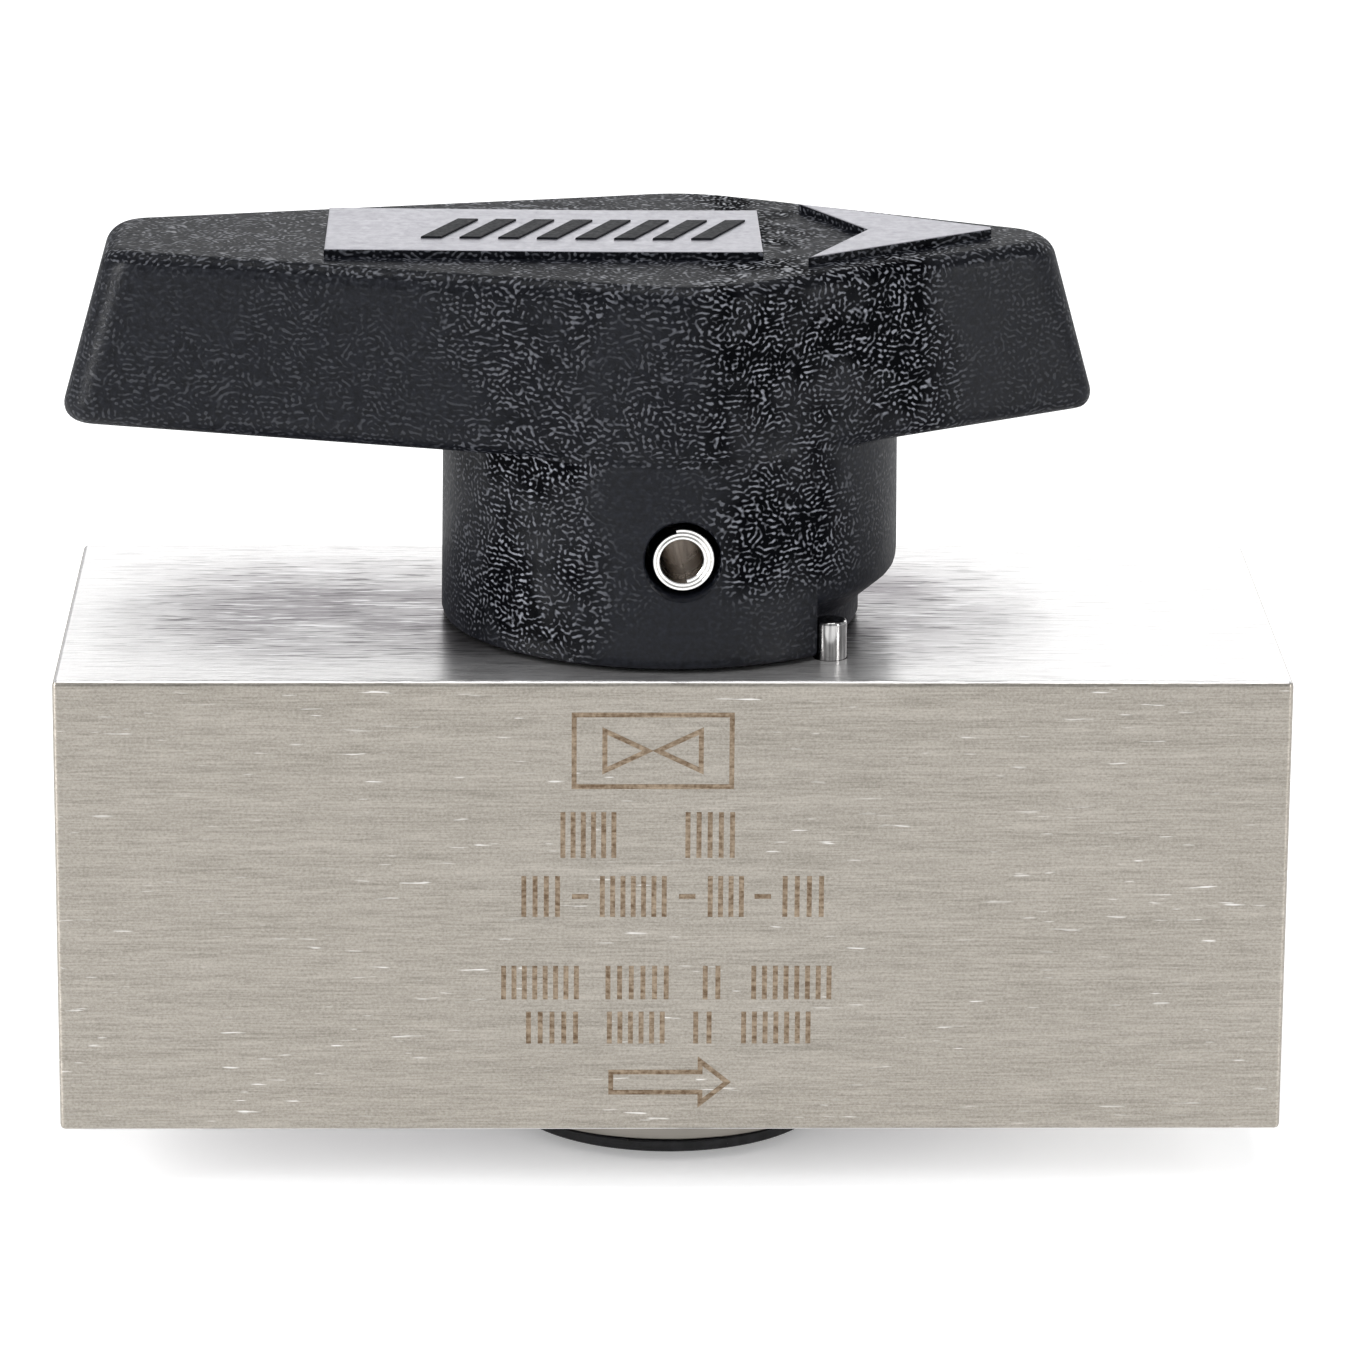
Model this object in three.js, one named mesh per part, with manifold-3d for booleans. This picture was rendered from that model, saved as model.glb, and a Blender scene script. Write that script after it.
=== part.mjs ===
// Quarter-turn rotary plug valve with female pipe ports and a pinned lever handle.
// Millimetres, +Z up along the stem, +X along the flow from inlet to outlet.
// The origin is under the stem, on the plane that the plug's lower end stands on.

import * as THREE from "three";
import { mergeVertices } from "three/addons/utils/BufferGeometryUtils.js";
import Module from "manifold-3d";

const wasm = await Module();
wasm.setup();

// Body block
const BODY_LENGTH = 74.6;
const BODY_WIDTH = 31.75;
const BODY_HEIGHT = 28.575;
const BODY_BOTTOM = 3.8;
const BODY_TOP = BODY_BOTTOM + BODY_HEIGHT;
const EDGE_CHAMFER = 0.3;
const FLOW_Z = BODY_BOTTOM + BODY_HEIGHT / 2;

// Half-inch tapered pipe thread, 14 turns to the inch, 1 in 16 on the diameter
const THREAD_PITCH = 25.4 / 14;
const THREAD_TURNS = 7;
const THREAD_ROOT_R = 10.6;
const THREAD_CREST_R = 9.16;
const TAPER = 1 / 32;
const PORT_MOUTH_R = 11.1;
const PORT_DEPTH = 16.5;
const PASSAGE_R = 4.65;

// Plug and the stepped bore that it turns in
const PLUG_R = 10.5;
const BORE_R = 10.6;
const LEDGE_Z = 9.2;
const LIP_TOP_Z = 5.3;
const GLAND_R = 8.5;
const JOURNAL_R = 7;
const JOURNAL_BORE_R = 7.12;
const SHOULDER_Z = 10.2;
const BARREL_TOP_Z = 29.6;
const STEM_R = 6.35;
const STEM_TOP_Z = BODY_TOP + 13;
const UPPER_GROOVE = { floorR: 9, bottom: 26, top: 28.9 };
const RING_GROOVE = { floorR: 6.55, bottom: 0.55, top: 1.35 };

// Port seals, carried in round pockets on the plug's two blank sides
const SEAL_POCKET = { innerR: 4.85, outerR: 6.7, floor: 5.65 };
const SEAL_RING = { innerR: 4.95, outerR: 6.6, back: 7.35 };

// Lever handle
const HUB_R = 14;
const HUB_BOTTOM = BODY_TOP + 0.2;
const SOCKET_R = 6.45;
const SOCKET_TOP = STEM_TOP_Z + 0.4;
const ARM_BOTTOM = BODY_TOP + 12.65;
const ARM_TOP = BODY_TOP + 23.65;
const APEX = { x: 1.7, y: 14.7, radius: 8 };
const LONG_END = { x: -34.45, halfWidth: 5.25, radius: 2.6 };
const SHORT_END = { x: 23.35, halfWidth: 2.05, smallestR: 1.1 };
const END_DRAFT = 0.275;
const SIDE_DRAFT = 0.035;
const LOWER_EDGE_R = 1.5;
const UPPER_EDGE_R = 1.1;
const ARM_WALL = 2.3;
const ARM_ROOF = 3;
const RIB_HALF_WIDTH = 1;
const MARK_HEIGHT = 0.5;

// Cross pin through the hub and the stem, turned a few degrees from the Y axis
const PIN_Z = BODY_TOP + 6.85;
const PIN_TURN = 2.2;
const PIN_R = 1.985;
const PIN_WALL = 0.56;
const PIN_LENGTH = 26.8;
const PIN_SLIT = 0.3;
const STEM_PIN_HOLE_R = 2.075;
const HUB_PIN_HOLE_R = 2.31;
const HUB_PIN_HOLE_Z = BODY_TOP + 6.97;

// Stop pin in the body, and the hub recess that it limits to a quarter turn
const STOP_PIN_R = 1;
const STOP_PIN_CENTRE_R = 14.15;
const STOP_PIN_ANGLE = THREE.MathUtils.degToRad(-47.3);
const STOP_PIN_HEIGHT = 2.4;
const STOP_PIN_DEPTH = 5.8;
const STOP_CLEARANCE = 0.05;
const QUARTER_TURN = Math.PI / 2;
const RECESS_R = 11.75;
const RECESS_LIP = { low: BODY_TOP + 1.75, high: BODY_TOP + 3.65 };

const ROUND = 48;
const RING_ROUND = 36;
const PORT_ROUND = 28;
const SMALL_ROUND = 18;
const PAST = 1;

const brushedSteel = new THREE.MeshStandardMaterial({ color: 0xb7b1a8, roughness: 0.38, metalness: 1 });
const turnedSteel = new THREE.MeshStandardMaterial({ color: 0xb9b6b0, roughness: 0.25, metalness: 1 });
const brightSteel = new THREE.MeshStandardMaterial({ color: 0xd2d0cc, roughness: 0.18, metalness: 1 });
const blackOxide = new THREE.MeshStandardMaterial({ color: 0x141416, roughness: 0.35, metalness: 0.6 });
const blackNylon = new THREE.MeshStandardMaterial({ color: 0x26282e, roughness: 0.5, metalness: 0 });
const whitePtfe = new THREE.MeshStandardMaterial({ color: 0xe9e7e1, roughness: 0.45, metalness: 0 });
const bearingPeek = new THREE.MeshStandardMaterial({ color: 0xb39a72, roughness: 0.5, metalness: 0 });
const sealRubber = new THREE.MeshStandardMaterial({ color: 0x1a1717, roughness: 0.7, metalness: 0 });

// A closed three.js geometry as a manifold-3d solid.
function solid(geometry) {
  geometry.deleteAttribute("normal");
  geometry.deleteAttribute("uv");
  const merged = mergeVertices(geometry, 1e-5);
  const mesh = new wasm.Mesh({
    numProp: 3,
    vertProperties: new Float32Array(merged.attributes.position.array),
    triVerts: new Uint32Array(merged.index.array),
  });
  return new wasm.Manifold(mesh);
}

// A manifold-3d solid as a named three.js mesh.
function piece(name, body, material) {
  const { vertProperties, triVerts } = body.getMesh();
  const geometry = new THREE.BufferGeometry();
  geometry.setAttribute("position", new THREE.BufferAttribute(vertProperties, 3));
  geometry.setIndex(new THREE.BufferAttribute(triVerts, 1));
  geometry.computeVertexNormals();
  const mesh = new THREE.Mesh(geometry, material);
  mesh.name = name;
  return mesh;
}

// Profile points are [radius, height], up the outside; the turned solid stands on the Z axis.
function turnedGeometry(profile, segments) {
  const points = profile.map(([radius, height]) => new THREE.Vector2(radius, height));
  return new THREE.LatheGeometry(points, segments).rotateX(Math.PI / 2);
}

function turned(profile, segments = ROUND) {
  return solid(turnedGeometry(profile, segments));
}

function rod(radius, bottom, top, segments = ROUND) {
  return turned([[0, bottom], [radius, bottom], [radius, top], [0, top]], segments);
}

function ringProfile(innerR, outerR, bottom, top) {
  return [[innerR, bottom], [outerR, bottom], [outerR, top], [innerR, top], [innerR, bottom]];
}

function flatRing(innerR, outerR, bottom, top, segments = ROUND) {
  return turned(ringProfile(innerR, outerR, bottom, top), segments);
}

// An O-ring squeezed in its gland: the section is an ellipse.
function squeezedRing(centreR, halfWidth, centreZ, halfHeight, segments = RING_ROUND) {
  const sides = 8;
  const profile = [];
  for (let i = 0; i <= sides; i += 1) {
    const angle = ((i % sides) / sides) * 2 * Math.PI;
    profile.push([centreR + halfWidth * Math.cos(angle), centreZ + halfHeight * Math.sin(angle)]);
  }
  return turned(profile, segments);
}

function box(lowest, highest) {
  const size = highest.map((value, axis) => value - lowest[axis]);
  const geometry = new THREE.BoxGeometry(...size);
  geometry.translate(...lowest.map((value, axis) => value + size[axis] / 2));
  return solid(geometry);
}

function prism(outline, bottom, height) {
  const shape = new THREE.Shape(outline.map(([x, y]) => new THREE.Vector2(x, y)));
  const geometry = new THREE.ExtrudeGeometry(shape, { depth: height, bevelEnabled: false });
  return solid(geometry.translate(0, 0, bottom));
}

// Turn a solid made on the Z axis so that its far end points along +X, -X, +Y or -Y.
function layAlong(body, direction) {
  const turns = { "+X": [0, 90, 0], "-X": [0, -90, 0], "+Y": [-90, 0, 0], "-Y": [90, 0, 0] };
  return body.rotate(turns[direction]);
}

// Lay a solid made on the Z axis along the cross pin, at some height.
function acrossStem(body, direction, height) {
  return layAlong(body, direction).rotate([0, 0, PIN_TURN]).translate([0, 0, height]);
}

function chamferedBlock() {
  const halfX = BODY_LENGTH / 2 - EDGE_CHAMFER;
  const halfY = BODY_WIDTH / 2 - EDGE_CHAMFER;
  const outline = [];
  for (const [signX, signY] of [[1, -1], [1, 1], [-1, 1], [-1, -1]]) {
    const side = [signX * halfX, signY * (halfY - EDGE_CHAMFER)];
    const end = [signX * (halfX - EDGE_CHAMFER), signY * halfY];
    outline.push(...(signX * signY < 0 ? [end, side] : [side, end]));
  }
  const shape = new THREE.Shape(outline.map(([x, y]) => new THREE.Vector2(x, y)));
  const geometry = new THREE.ExtrudeGeometry(shape, {
    depth: BODY_HEIGHT - 2 * EDGE_CHAMFER,
    bevelSize: EDGE_CHAMFER,
    bevelThickness: EDGE_CHAMFER,
    bevelSegments: 1,
  });
  return solid(geometry.translate(0, 0, BODY_BOTTOM + EDGE_CHAMFER));
}

// The hollow of one port, mouth at height 0 and going down: countersink, thread, drill point, passage.
function portHollow() {
  const rootHalfWidth = (THREAD_ROOT_R - THREAD_CREST_R) * Math.tan(Math.PI / 6);
  const countersink = PORT_MOUTH_R - THREAD_CREST_R;
  const drillPoint = (THREAD_CREST_R - PASSAGE_R) / Math.tan(THREE.MathUtils.degToRad(59));
  const downwards = [
    [0, PAST],
    [PORT_MOUTH_R + PAST, PAST],
    [PORT_MOUTH_R, 0],
    [THREAD_CREST_R, -countersink],
  ];
  const firstRoot = countersink + THREAD_PITCH / 2;
  for (let turn = 0; turn < THREAD_TURNS; turn += 1) {
    const depth = firstRoot + turn * THREAD_PITCH;
    const crest = THREAD_CREST_R - depth * TAPER;
    const root = THREAD_ROOT_R - depth * TAPER;
    downwards.push([crest, -(depth - rootHalfWidth)], [root, -depth], [crest, -(depth + rootHalfWidth)]);
  }
  const plainR = THREAD_CREST_R - PORT_DEPTH * TAPER;
  downwards.push([plainR, -PORT_DEPTH]);
  downwards.push([PASSAGE_R, -PORT_DEPTH - drillPoint]);
  downwards.push([PASSAGE_R, -BODY_LENGTH / 2 + PLUG_R / 2], [0, -BODY_LENGTH / 2 + PLUG_R / 2]);
  return turned(downwards.reverse(), PORT_ROUND);
}

function valveBody() {
  const steppedBore = turned([
    [0, BODY_BOTTOM - PAST],
    [JOURNAL_BORE_R, BODY_BOTTOM - PAST],
    [JOURNAL_BORE_R, LIP_TOP_Z],
    [GLAND_R, LIP_TOP_Z],
    [GLAND_R, LEDGE_Z],
    [BORE_R, LEDGE_Z],
    [BORE_R, BODY_TOP + PAST],
    [0, BODY_TOP + PAST],
  ]);
  const outlet = layAlong(portHollow(), "+X").translate([BODY_LENGTH / 2, 0, FLOW_Z]);
  const inlet = layAlong(portHollow(), "-X").translate([-BODY_LENGTH / 2, 0, FLOW_Z]);
  const pinHoleBottom = BODY_TOP - STOP_PIN_DEPTH - 0.2;
  const pinHole = placeAtStopPin(rod(STOP_PIN_R + 0.06, pinHoleBottom, BODY_TOP + PAST, SMALL_ROUND));
  return chamferedBlock().subtract(steppedBore).subtract(outlet).subtract(inlet).subtract(pinHole);
}

function placeAtStopPin(body) {
  const x = STOP_PIN_CENTRE_R * Math.cos(STOP_PIN_ANGLE);
  const y = STOP_PIN_CENTRE_R * Math.sin(STOP_PIN_ANGLE);
  return body.translate([x, y, 0]);
}

function rotaryPlug() {
  const chamfer = 0.4;
  const blank = turned([
    [0, 0],
    [JOURNAL_R - chamfer, 0],
    [JOURNAL_R, chamfer],
    [JOURNAL_R, RING_GROOVE.bottom],
    [RING_GROOVE.floorR, RING_GROOVE.bottom],
    [RING_GROOVE.floorR, RING_GROOVE.top],
    [JOURNAL_R, RING_GROOVE.top],
    [JOURNAL_R, SHOULDER_Z],
    [PLUG_R - chamfer, SHOULDER_Z],
    [PLUG_R, SHOULDER_Z + chamfer],
    [PLUG_R, UPPER_GROOVE.bottom],
    [UPPER_GROOVE.floorR, UPPER_GROOVE.bottom],
    [UPPER_GROOVE.floorR, UPPER_GROOVE.top],
    [PLUG_R, UPPER_GROOVE.top],
    [PLUG_R, BARREL_TOP_Z - chamfer],
    [PLUG_R - chamfer, BARREL_TOP_Z],
    [STEM_R, BARREL_TOP_Z],
    [STEM_R, STEM_TOP_Z - chamfer],
    [STEM_R - chamfer, STEM_TOP_Z],
    [0, STEM_TOP_Z],
  ]);
  const reach = PLUG_R + PAST;
  const passage = layAlong(rod(PASSAGE_R, -reach, reach, PORT_ROUND), "+X").translate([0, 0, FLOW_Z]);
  const pinTool = rod(STEM_PIN_HOLE_R, -reach, reach, SMALL_ROUND);
  const pinHole = acrossStem(pinTool, "+Y", PIN_Z);
  const pocket = flatRing(SEAL_POCKET.innerR, SEAL_POCKET.outerR, SEAL_POCKET.floor, reach, PORT_ROUND);
  let plug = blank.subtract(passage).subtract(pinHole);
  for (const direction of ["+Y", "-Y"]) {
    plug = plug.subtract(layAlong(pocket, direction).translate([0, 0, FLOW_Z]));
  }
  return plug;
}

// A flat-backed ring whose face follows the bore.
function portSeal(direction) {
  const ring = flatRing(SEAL_RING.innerR, SEAL_RING.outerR, SEAL_RING.back, PLUG_R + PAST, PORT_ROUND);
  const face = rod(PLUG_R - 0.05, 0, BODY_TOP);
  return layAlong(ring, direction).translate([0, 0, FLOW_Z]).intersect(face);
}

function sealEnergizer(direction) {
  const centreR = (SEAL_POCKET.innerR + SEAL_POCKET.outerR) / 2;
  const halfWidth = (SEAL_POCKET.outerR - SEAL_POCKET.innerR) / 2 - 0.12;
  const centre = (SEAL_POCKET.floor + SEAL_RING.back) / 2;
  const halfHeight = (SEAL_RING.back - SEAL_POCKET.floor) / 2 - 0.05;
  const ring = squeezedRing(centreR, halfWidth, centre, halfHeight, PORT_ROUND);
  return layAlong(ring, direction).translate([0, 0, FLOW_Z]);
}

// Round one corner of a polygon; the point count stays the same whatever the radius.
function roundedCorner(before, corner, after, radius, steps) {
  const toBefore = new THREE.Vector2().subVectors(before, corner).normalize();
  const toAfter = new THREE.Vector2().subVectors(after, corner).normalize();
  const halfAngle = Math.acos(toBefore.dot(toAfter)) / 2;
  const bisector = new THREE.Vector2().addVectors(toBefore, toAfter).normalize();
  const centre = corner.clone().addScaledVector(bisector, radius / Math.sin(halfAngle));
  const start = corner.clone().addScaledVector(toBefore, radius / Math.tan(halfAngle)).sub(centre);
  const sweep = Math.PI - 2 * halfAngle;
  const points = [];
  for (let i = 0; i <= steps; i += 1) {
    const angle = start.angle() + (sweep * i) / steps;
    points.push(new THREE.Vector2(Math.cos(angle), Math.sin(angle)).multiplyScalar(radius).add(centre));
  }
  return points;
}

// The lever's kite-shaped outline, at a depth below its top and shrunk inwards by an inset.
// The long arm ends square with rounded corners, the short arm in a round nose.
function armOutline(depth, inset) {
  const sideShift = SIDE_DRAFT * depth - inset;
  const longAngle = Math.atan((APEX.y - LONG_END.halfWidth) / (APEX.x - LONG_END.x));
  const shortAngle = Math.atan((APEX.y - SHORT_END.halfWidth) / (SHORT_END.x - APEX.x));
  const longSideAt = (x) => APEX.y + Math.tan(longAngle) * (x - APEX.x) + sideShift / Math.cos(longAngle);
  const shortSideAt = (x) => APEX.y - Math.tan(shortAngle) * (x - APEX.x) + sideShift / Math.cos(shortAngle);
  const apexShift = shortSideAt(APEX.x) - longSideAt(APEX.x);
  const apexX = APEX.x + apexShift / (Math.tan(longAngle) + Math.tan(shortAngle));
  const longX = LONG_END.x - END_DRAFT * depth + inset;

  const noseX = APEX.x + shortSideAt(APEX.x) / Math.tan(shortAngle);
  const fullNoseX = noseX + inset / Math.sin(shortAngle);
  const noseTipX = SHORT_END.x + END_DRAFT * depth;
  const noseR = Math.max((fullNoseX - noseTipX) / (1 / Math.sin(shortAngle) - 1), SHORT_END.smallestR);

  const corners = [
    { x: longX, y: -longSideAt(longX), radius: LONG_END.radius, steps: 4 },
    { x: apexX, y: -longSideAt(apexX), radius: APEX.radius, steps: 6 },
    { x: noseX, y: 0, radius: noseR, steps: 8 },
    { x: apexX, y: longSideAt(apexX), radius: APEX.radius, steps: 6 },
    { x: longX, y: longSideAt(longX), radius: LONG_END.radius, steps: 4 },
  ];
  const points = corners.map(({ x, y }) => new THREE.Vector2(x, y));
  return corners.flatMap(({ radius, steps }, i) => {
    const before = points[(i + corners.length - 1) % corners.length];
    const after = points[(i + 1) % corners.length];
    return roundedCorner(before, points[i], after, Math.max(radius - inset, 0.1), steps);
  });
}

// Join outlines of equal point count, from the lowest up, into one closed solid.
function loft(levels) {
  const count = levels[0].outline.length;
  const positions = levels.flatMap(({ outline, z }) => outline.flatMap((point) => [point.x, point.y, z]));
  const indices = [];
  for (let level = 0; level < levels.length - 1; level += 1) {
    for (let i = 0; i < count; i += 1) {
      const a = level * count + i;
      const b = level * count + ((i + 1) % count);
      indices.push(a, b, b + count, a, b + count, a + count);
    }
  }
  const top = (levels.length - 1) * count;
  for (const [a, b, c] of THREE.ShapeUtils.triangulateShape(levels[0].outline, [])) {
    indices.push(a, c, b);
  }
  for (const [a, b, c] of THREE.ShapeUtils.triangulateShape(levels.at(-1).outline, [])) {
    indices.push(top + a, top + b, top + c);
  }
  const geometry = new THREE.BufferGeometry();
  geometry.setAttribute("position", new THREE.Float32BufferAttribute(positions, 3));
  geometry.setIndex(indices);
  return solid(geometry);
}

// The lever; each of its rims is rounded by two flats across a quarter circle.
function leverArm() {
  const height = ARM_TOP - ARM_BOTTOM;
  const lowerHalf = LOWER_EDGE_R * (1 - Math.SQRT1_2);
  const upperHalf = UPPER_EDGE_R * (1 - Math.SQRT1_2);
  return loft([
    { z: ARM_BOTTOM, outline: armOutline(height, LOWER_EDGE_R) },
    { z: ARM_BOTTOM + lowerHalf, outline: armOutline(height - lowerHalf, lowerHalf) },
    { z: ARM_BOTTOM + LOWER_EDGE_R, outline: armOutline(height - LOWER_EDGE_R, 0) },
    { z: ARM_TOP - UPPER_EDGE_R, outline: armOutline(UPPER_EDGE_R, 0) },
    { z: ARM_TOP - upperHalf, outline: armOutline(upperHalf, upperHalf) },
    { z: ARM_TOP, outline: armOutline(0, UPPER_EDGE_R) },
  ]);
}

// Moulding pockets in the underside of both arms, either side of a middle rib.
function armPockets() {
  const roof = ARM_TOP - ARM_ROOF;
  const core = loft([
    { z: ARM_BOTTOM - PAST, outline: armOutline(ARM_TOP - ARM_BOTTOM, ARM_WALL) },
    { z: roof, outline: armOutline(ARM_ROOF, ARM_WALL) },
  ]);
  const nearHub = HUB_R + ARM_WALL;
  const farEnd = BODY_LENGTH;
  const zones = [];
  for (const [low, high] of [[RIB_HALF_WIDTH, BODY_WIDTH], [-BODY_WIDTH, -RIB_HALF_WIDTH]]) {
    zones.push(box([-farEnd, low, 0], [-nearHub, high, ARM_TOP]));
    zones.push(box([nearHub, low, 0], [farEnd, high, ARM_TOP]));
  }
  return zones.map((zone) => core.intersect(zone));
}

// The quarter-turn recess in the hub's rim, with a sloping lip over it.
function stopRecess() {
  const steps = 6;
  const outerR = HUB_R + 2 * PAST;
  const slope = (RECESS_LIP.high - RECESS_LIP.low) / (HUB_R - RECESS_R);
  const ring = turned([
    [RECESS_R, HUB_BOTTOM - PAST],
    [outerR, HUB_BOTTOM - PAST],
    [outerR, RECESS_LIP.low + slope * (outerR - RECESS_R)],
    [RECESS_R, RECESS_LIP.low],
    [RECESS_R, HUB_BOTTOM - PAST],
  ]);
  const shoulder = Math.asin((STOP_PIN_R + STOP_CLEARANCE) / STOP_PIN_CENTRE_R);
  const start = STOP_PIN_ANGLE - shoulder;
  const sweep = QUARTER_TURN + 2 * shoulder;
  const sector = [[0, 0]];
  for (let i = 0; i <= steps; i += 1) {
    const angle = start + (sweep * i) / steps;
    sector.push([2 * outerR * Math.cos(angle), 2 * outerR * Math.sin(angle)]);
  }
  return ring.intersect(prism(sector, HUB_BOTTOM - 2 * PAST, HUB_R));
}

// The raised plate and the raised direction arrow on the lever's top.
function topMarks() {
  const sunk = 0.3;
  const plate = [[-21.1, -5.9], [5.45, -5.9], [5.45, 5.9], [-21.1, 5.9]];
  const arrow = [[8.1, -7.6], [19.6, -0.35], [19.6, 0.35], [8.1, 7.6], [12, 0]];
  return [plate, arrow].map((outline) => prism(outline, ARM_TOP - sunk, MARK_HEIGHT + sunk));
}

function handle() {
  const hub = rod(HUB_R, HUB_BOTTOM, ARM_BOTTOM + 2 * PAST);
  const socket = rod(SOCKET_R, HUB_BOTTOM - PAST, SOCKET_TOP, ROUND);
  const pinTool = rod(HUB_PIN_HOLE_R, -BODY_WIDTH, BODY_WIDTH, SMALL_ROUND);
  const pinHole = acrossStem(pinTool, "+Y", HUB_PIN_HOLE_Z);
  const marks = topMarks().reduce((lever, mark) => lever.add(mark), leverArm().add(hub));
  const hollows = [socket, pinHole, stopRecess(), ...armPockets()];
  return hollows.reduce((lever, hollow) => lever.subtract(hollow), marks);
}

// A rolled pin, with its slit facing up.
function handlePin() {
  const halfSlit = PIN_SLIT / 2 / PIN_R;
  const innerR = PIN_R - PIN_WALL;
  const outline = [];
  for (let i = 0; i <= SMALL_ROUND; i += 1) {
    const angle = QUARTER_TURN + halfSlit + ((2 * Math.PI - 2 * halfSlit) * i) / SMALL_ROUND;
    outline.push([PIN_R * Math.cos(angle), PIN_R * Math.sin(angle)]);
  }
  const inside = outline.map(([x, y]) => [(x * innerR) / PIN_R, (y * innerR) / PIN_R]).reverse();
  const pin = prism([...outline, ...inside], -PIN_LENGTH / 2, PIN_LENGTH);
  return acrossStem(pin, "-Y", PIN_Z);
}

function stopPin() {
  const bottom = BODY_TOP - STOP_PIN_DEPTH;
  const top = BODY_TOP + STOP_PIN_HEIGHT;
  const edge = 0.2;
  const profile = [
    [0, bottom],
    [STOP_PIN_R - edge, bottom],
    [STOP_PIN_R, bottom + edge],
    [STOP_PIN_R, top - edge],
    [STOP_PIN_R - edge, top],
    [0, top],
  ];
  return placeAtStopPin(turned(profile, SMALL_ROUND));
}

// External ring in the plug's lowest groove: widest opposite its gap, with two drilled lugs.
function retainingRing() {
  const bottom = RING_GROOVE.bottom + 0.05;
  const thickness = RING_GROOVE.top - RING_GROOVE.bottom - 0.1;
  const innerR = RING_GROOVE.floorR + 0.05;
  const widestR = 11;
  const narrowing = 2.4;
  const halfGap = THREE.MathUtils.degToRad(16);
  const lugR = 1.35;
  const steps = 40;
  const outer = [];
  const inner = [];
  for (let i = 0; i <= steps; i += 1) {
    const angle = halfGap + ((2 * Math.PI - 2 * halfGap) * i) / steps;
    const radius = widestR - narrowing * ((1 + Math.cos(angle)) / 2);
    outer.push([radius * Math.cos(angle), radius * Math.sin(angle)]);
    inner.push([innerR * Math.cos(angle), innerR * Math.sin(angle)]);
  }
  let ring = prism([...outer, ...inner.reverse()], bottom, thickness);
  for (const side of [-1, 1]) {
    const lugAngle = side * (halfGap + lugR / (innerR + lugR));
    const centre = [(innerR + lugR) * Math.cos(lugAngle), (innerR + lugR) * Math.sin(lugAngle), 0];
    ring = ring.add(rod(lugR, bottom, bottom + thickness, SMALL_ROUND).translate(centre));
    ring = ring.subtract(rod(lugR / 2, bottom - PAST, bottom + PAST * 2, SMALL_ROUND).translate(centre));
  }
  return ring.rotate([0, 0, 90]);
}

// A three-wave spring washer between the body's underside and the thrust washer.
function waveSpringWasher() {
  const waves = 3;
  const amplitude = 0.45;
  const middle = 3.08;
  const halfThickness = 0.15;
  const profile = ringProfile(7.2, 8.7, middle - halfThickness, middle + halfThickness);
  const geometry = turnedGeometry(profile, ROUND);
  const position = geometry.attributes.position;
  for (let i = 0; i < position.count; i += 1) {
    const angle = Math.atan2(position.getY(i), position.getX(i));
    position.setZ(i, position.getZ(i) + amplitude * Math.cos(waves * angle));
  }
  return solid(geometry);
}

// A bush round the stem, with a step at its top for the dust seal.
function upperStemBushing() {
  const top = BODY_TOP - 0.15;
  const seatZ = BARREL_TOP_Z + 1.2;
  const seatR = 8.15;
  return turned([
    [STEM_R + 0.1, BARREL_TOP_Z + 0.1],
    [BORE_R - 0.1, BARREL_TOP_Z + 0.1],
    [BORE_R - 0.1, top],
    [seatR, top],
    [seatR, seatZ],
    [STEM_R + 0.1, seatZ],
    [STEM_R + 0.1, BARREL_TOP_Z + 0.1],
  ]);
}

const valve = new THREE.Group();
valve.add(piece("valve_body", valveBody(), brushedSteel));
valve.add(piece("rotary_plug", rotaryPlug(), turnedSteel));
valve.add(piece("handle", handle(), blackNylon));
valve.add(piece("handle_pin", handlePin(), brightSteel));
valve.add(piece("stop_pin", stopPin(), brightSteel));
valve.add(piece("retaining_ring", retainingRing(), blackOxide));
valve.add(piece("bottom_thrust_washer", flatRing(7.15, 10.9, 1.35, 2.35), turnedSteel));
valve.add(piece("wave_spring_washer", waveSpringWasher(), turnedSteel));
valve.add(piece("lower_journal_bushing", flatRing(7.1, 8.4, 5.35, 6.9), bearingPeek));
valve.add(piece("lower_backup_ring", flatRing(7.1, 8.4, 6.95, 7.65), whitePtfe));
valve.add(piece("lower_stem_o_ring", squeezedRing(7.75, 0.66, 8.43, 0.72), sealRubber));
valve.add(piece("plug_thrust_washer", flatRing(7.2, 10.4, 9.25, 10.15), bearingPeek));
valve.add(piece("outlet_port_seal", portSeal("+Y"), whitePtfe));
valve.add(piece("inlet_port_seal", portSeal("-Y"), whitePtfe));
valve.add(piece("outlet_seal_energizer", sealEnergizer("+Y"), sealRubber));
valve.add(piece("inlet_seal_energizer", sealEnergizer("-Y"), sealRubber));
valve.add(piece("upper_stem_o_ring", squeezedRing(9.78, 0.69, 27, 0.93), sealRubber));
valve.add(piece("upper_backup_ring", flatRing(9.07, 10.45, 28.02, 28.82), whitePtfe));
valve.add(piece("upper_stem_bushing", upperStemBushing(), bearingPeek));
valve.add(piece("stem_dust_seal", squeezedRing(7.25, 0.75, 31.6, 0.65), sealRubber));

export default valve;
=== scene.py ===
"""Rotary plug valve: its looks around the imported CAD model. Shapes are in millimetres until make_mesh."""

import math

import bmesh
import bpy
import numpy as np
from mathutils import Matrix, Vector


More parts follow.
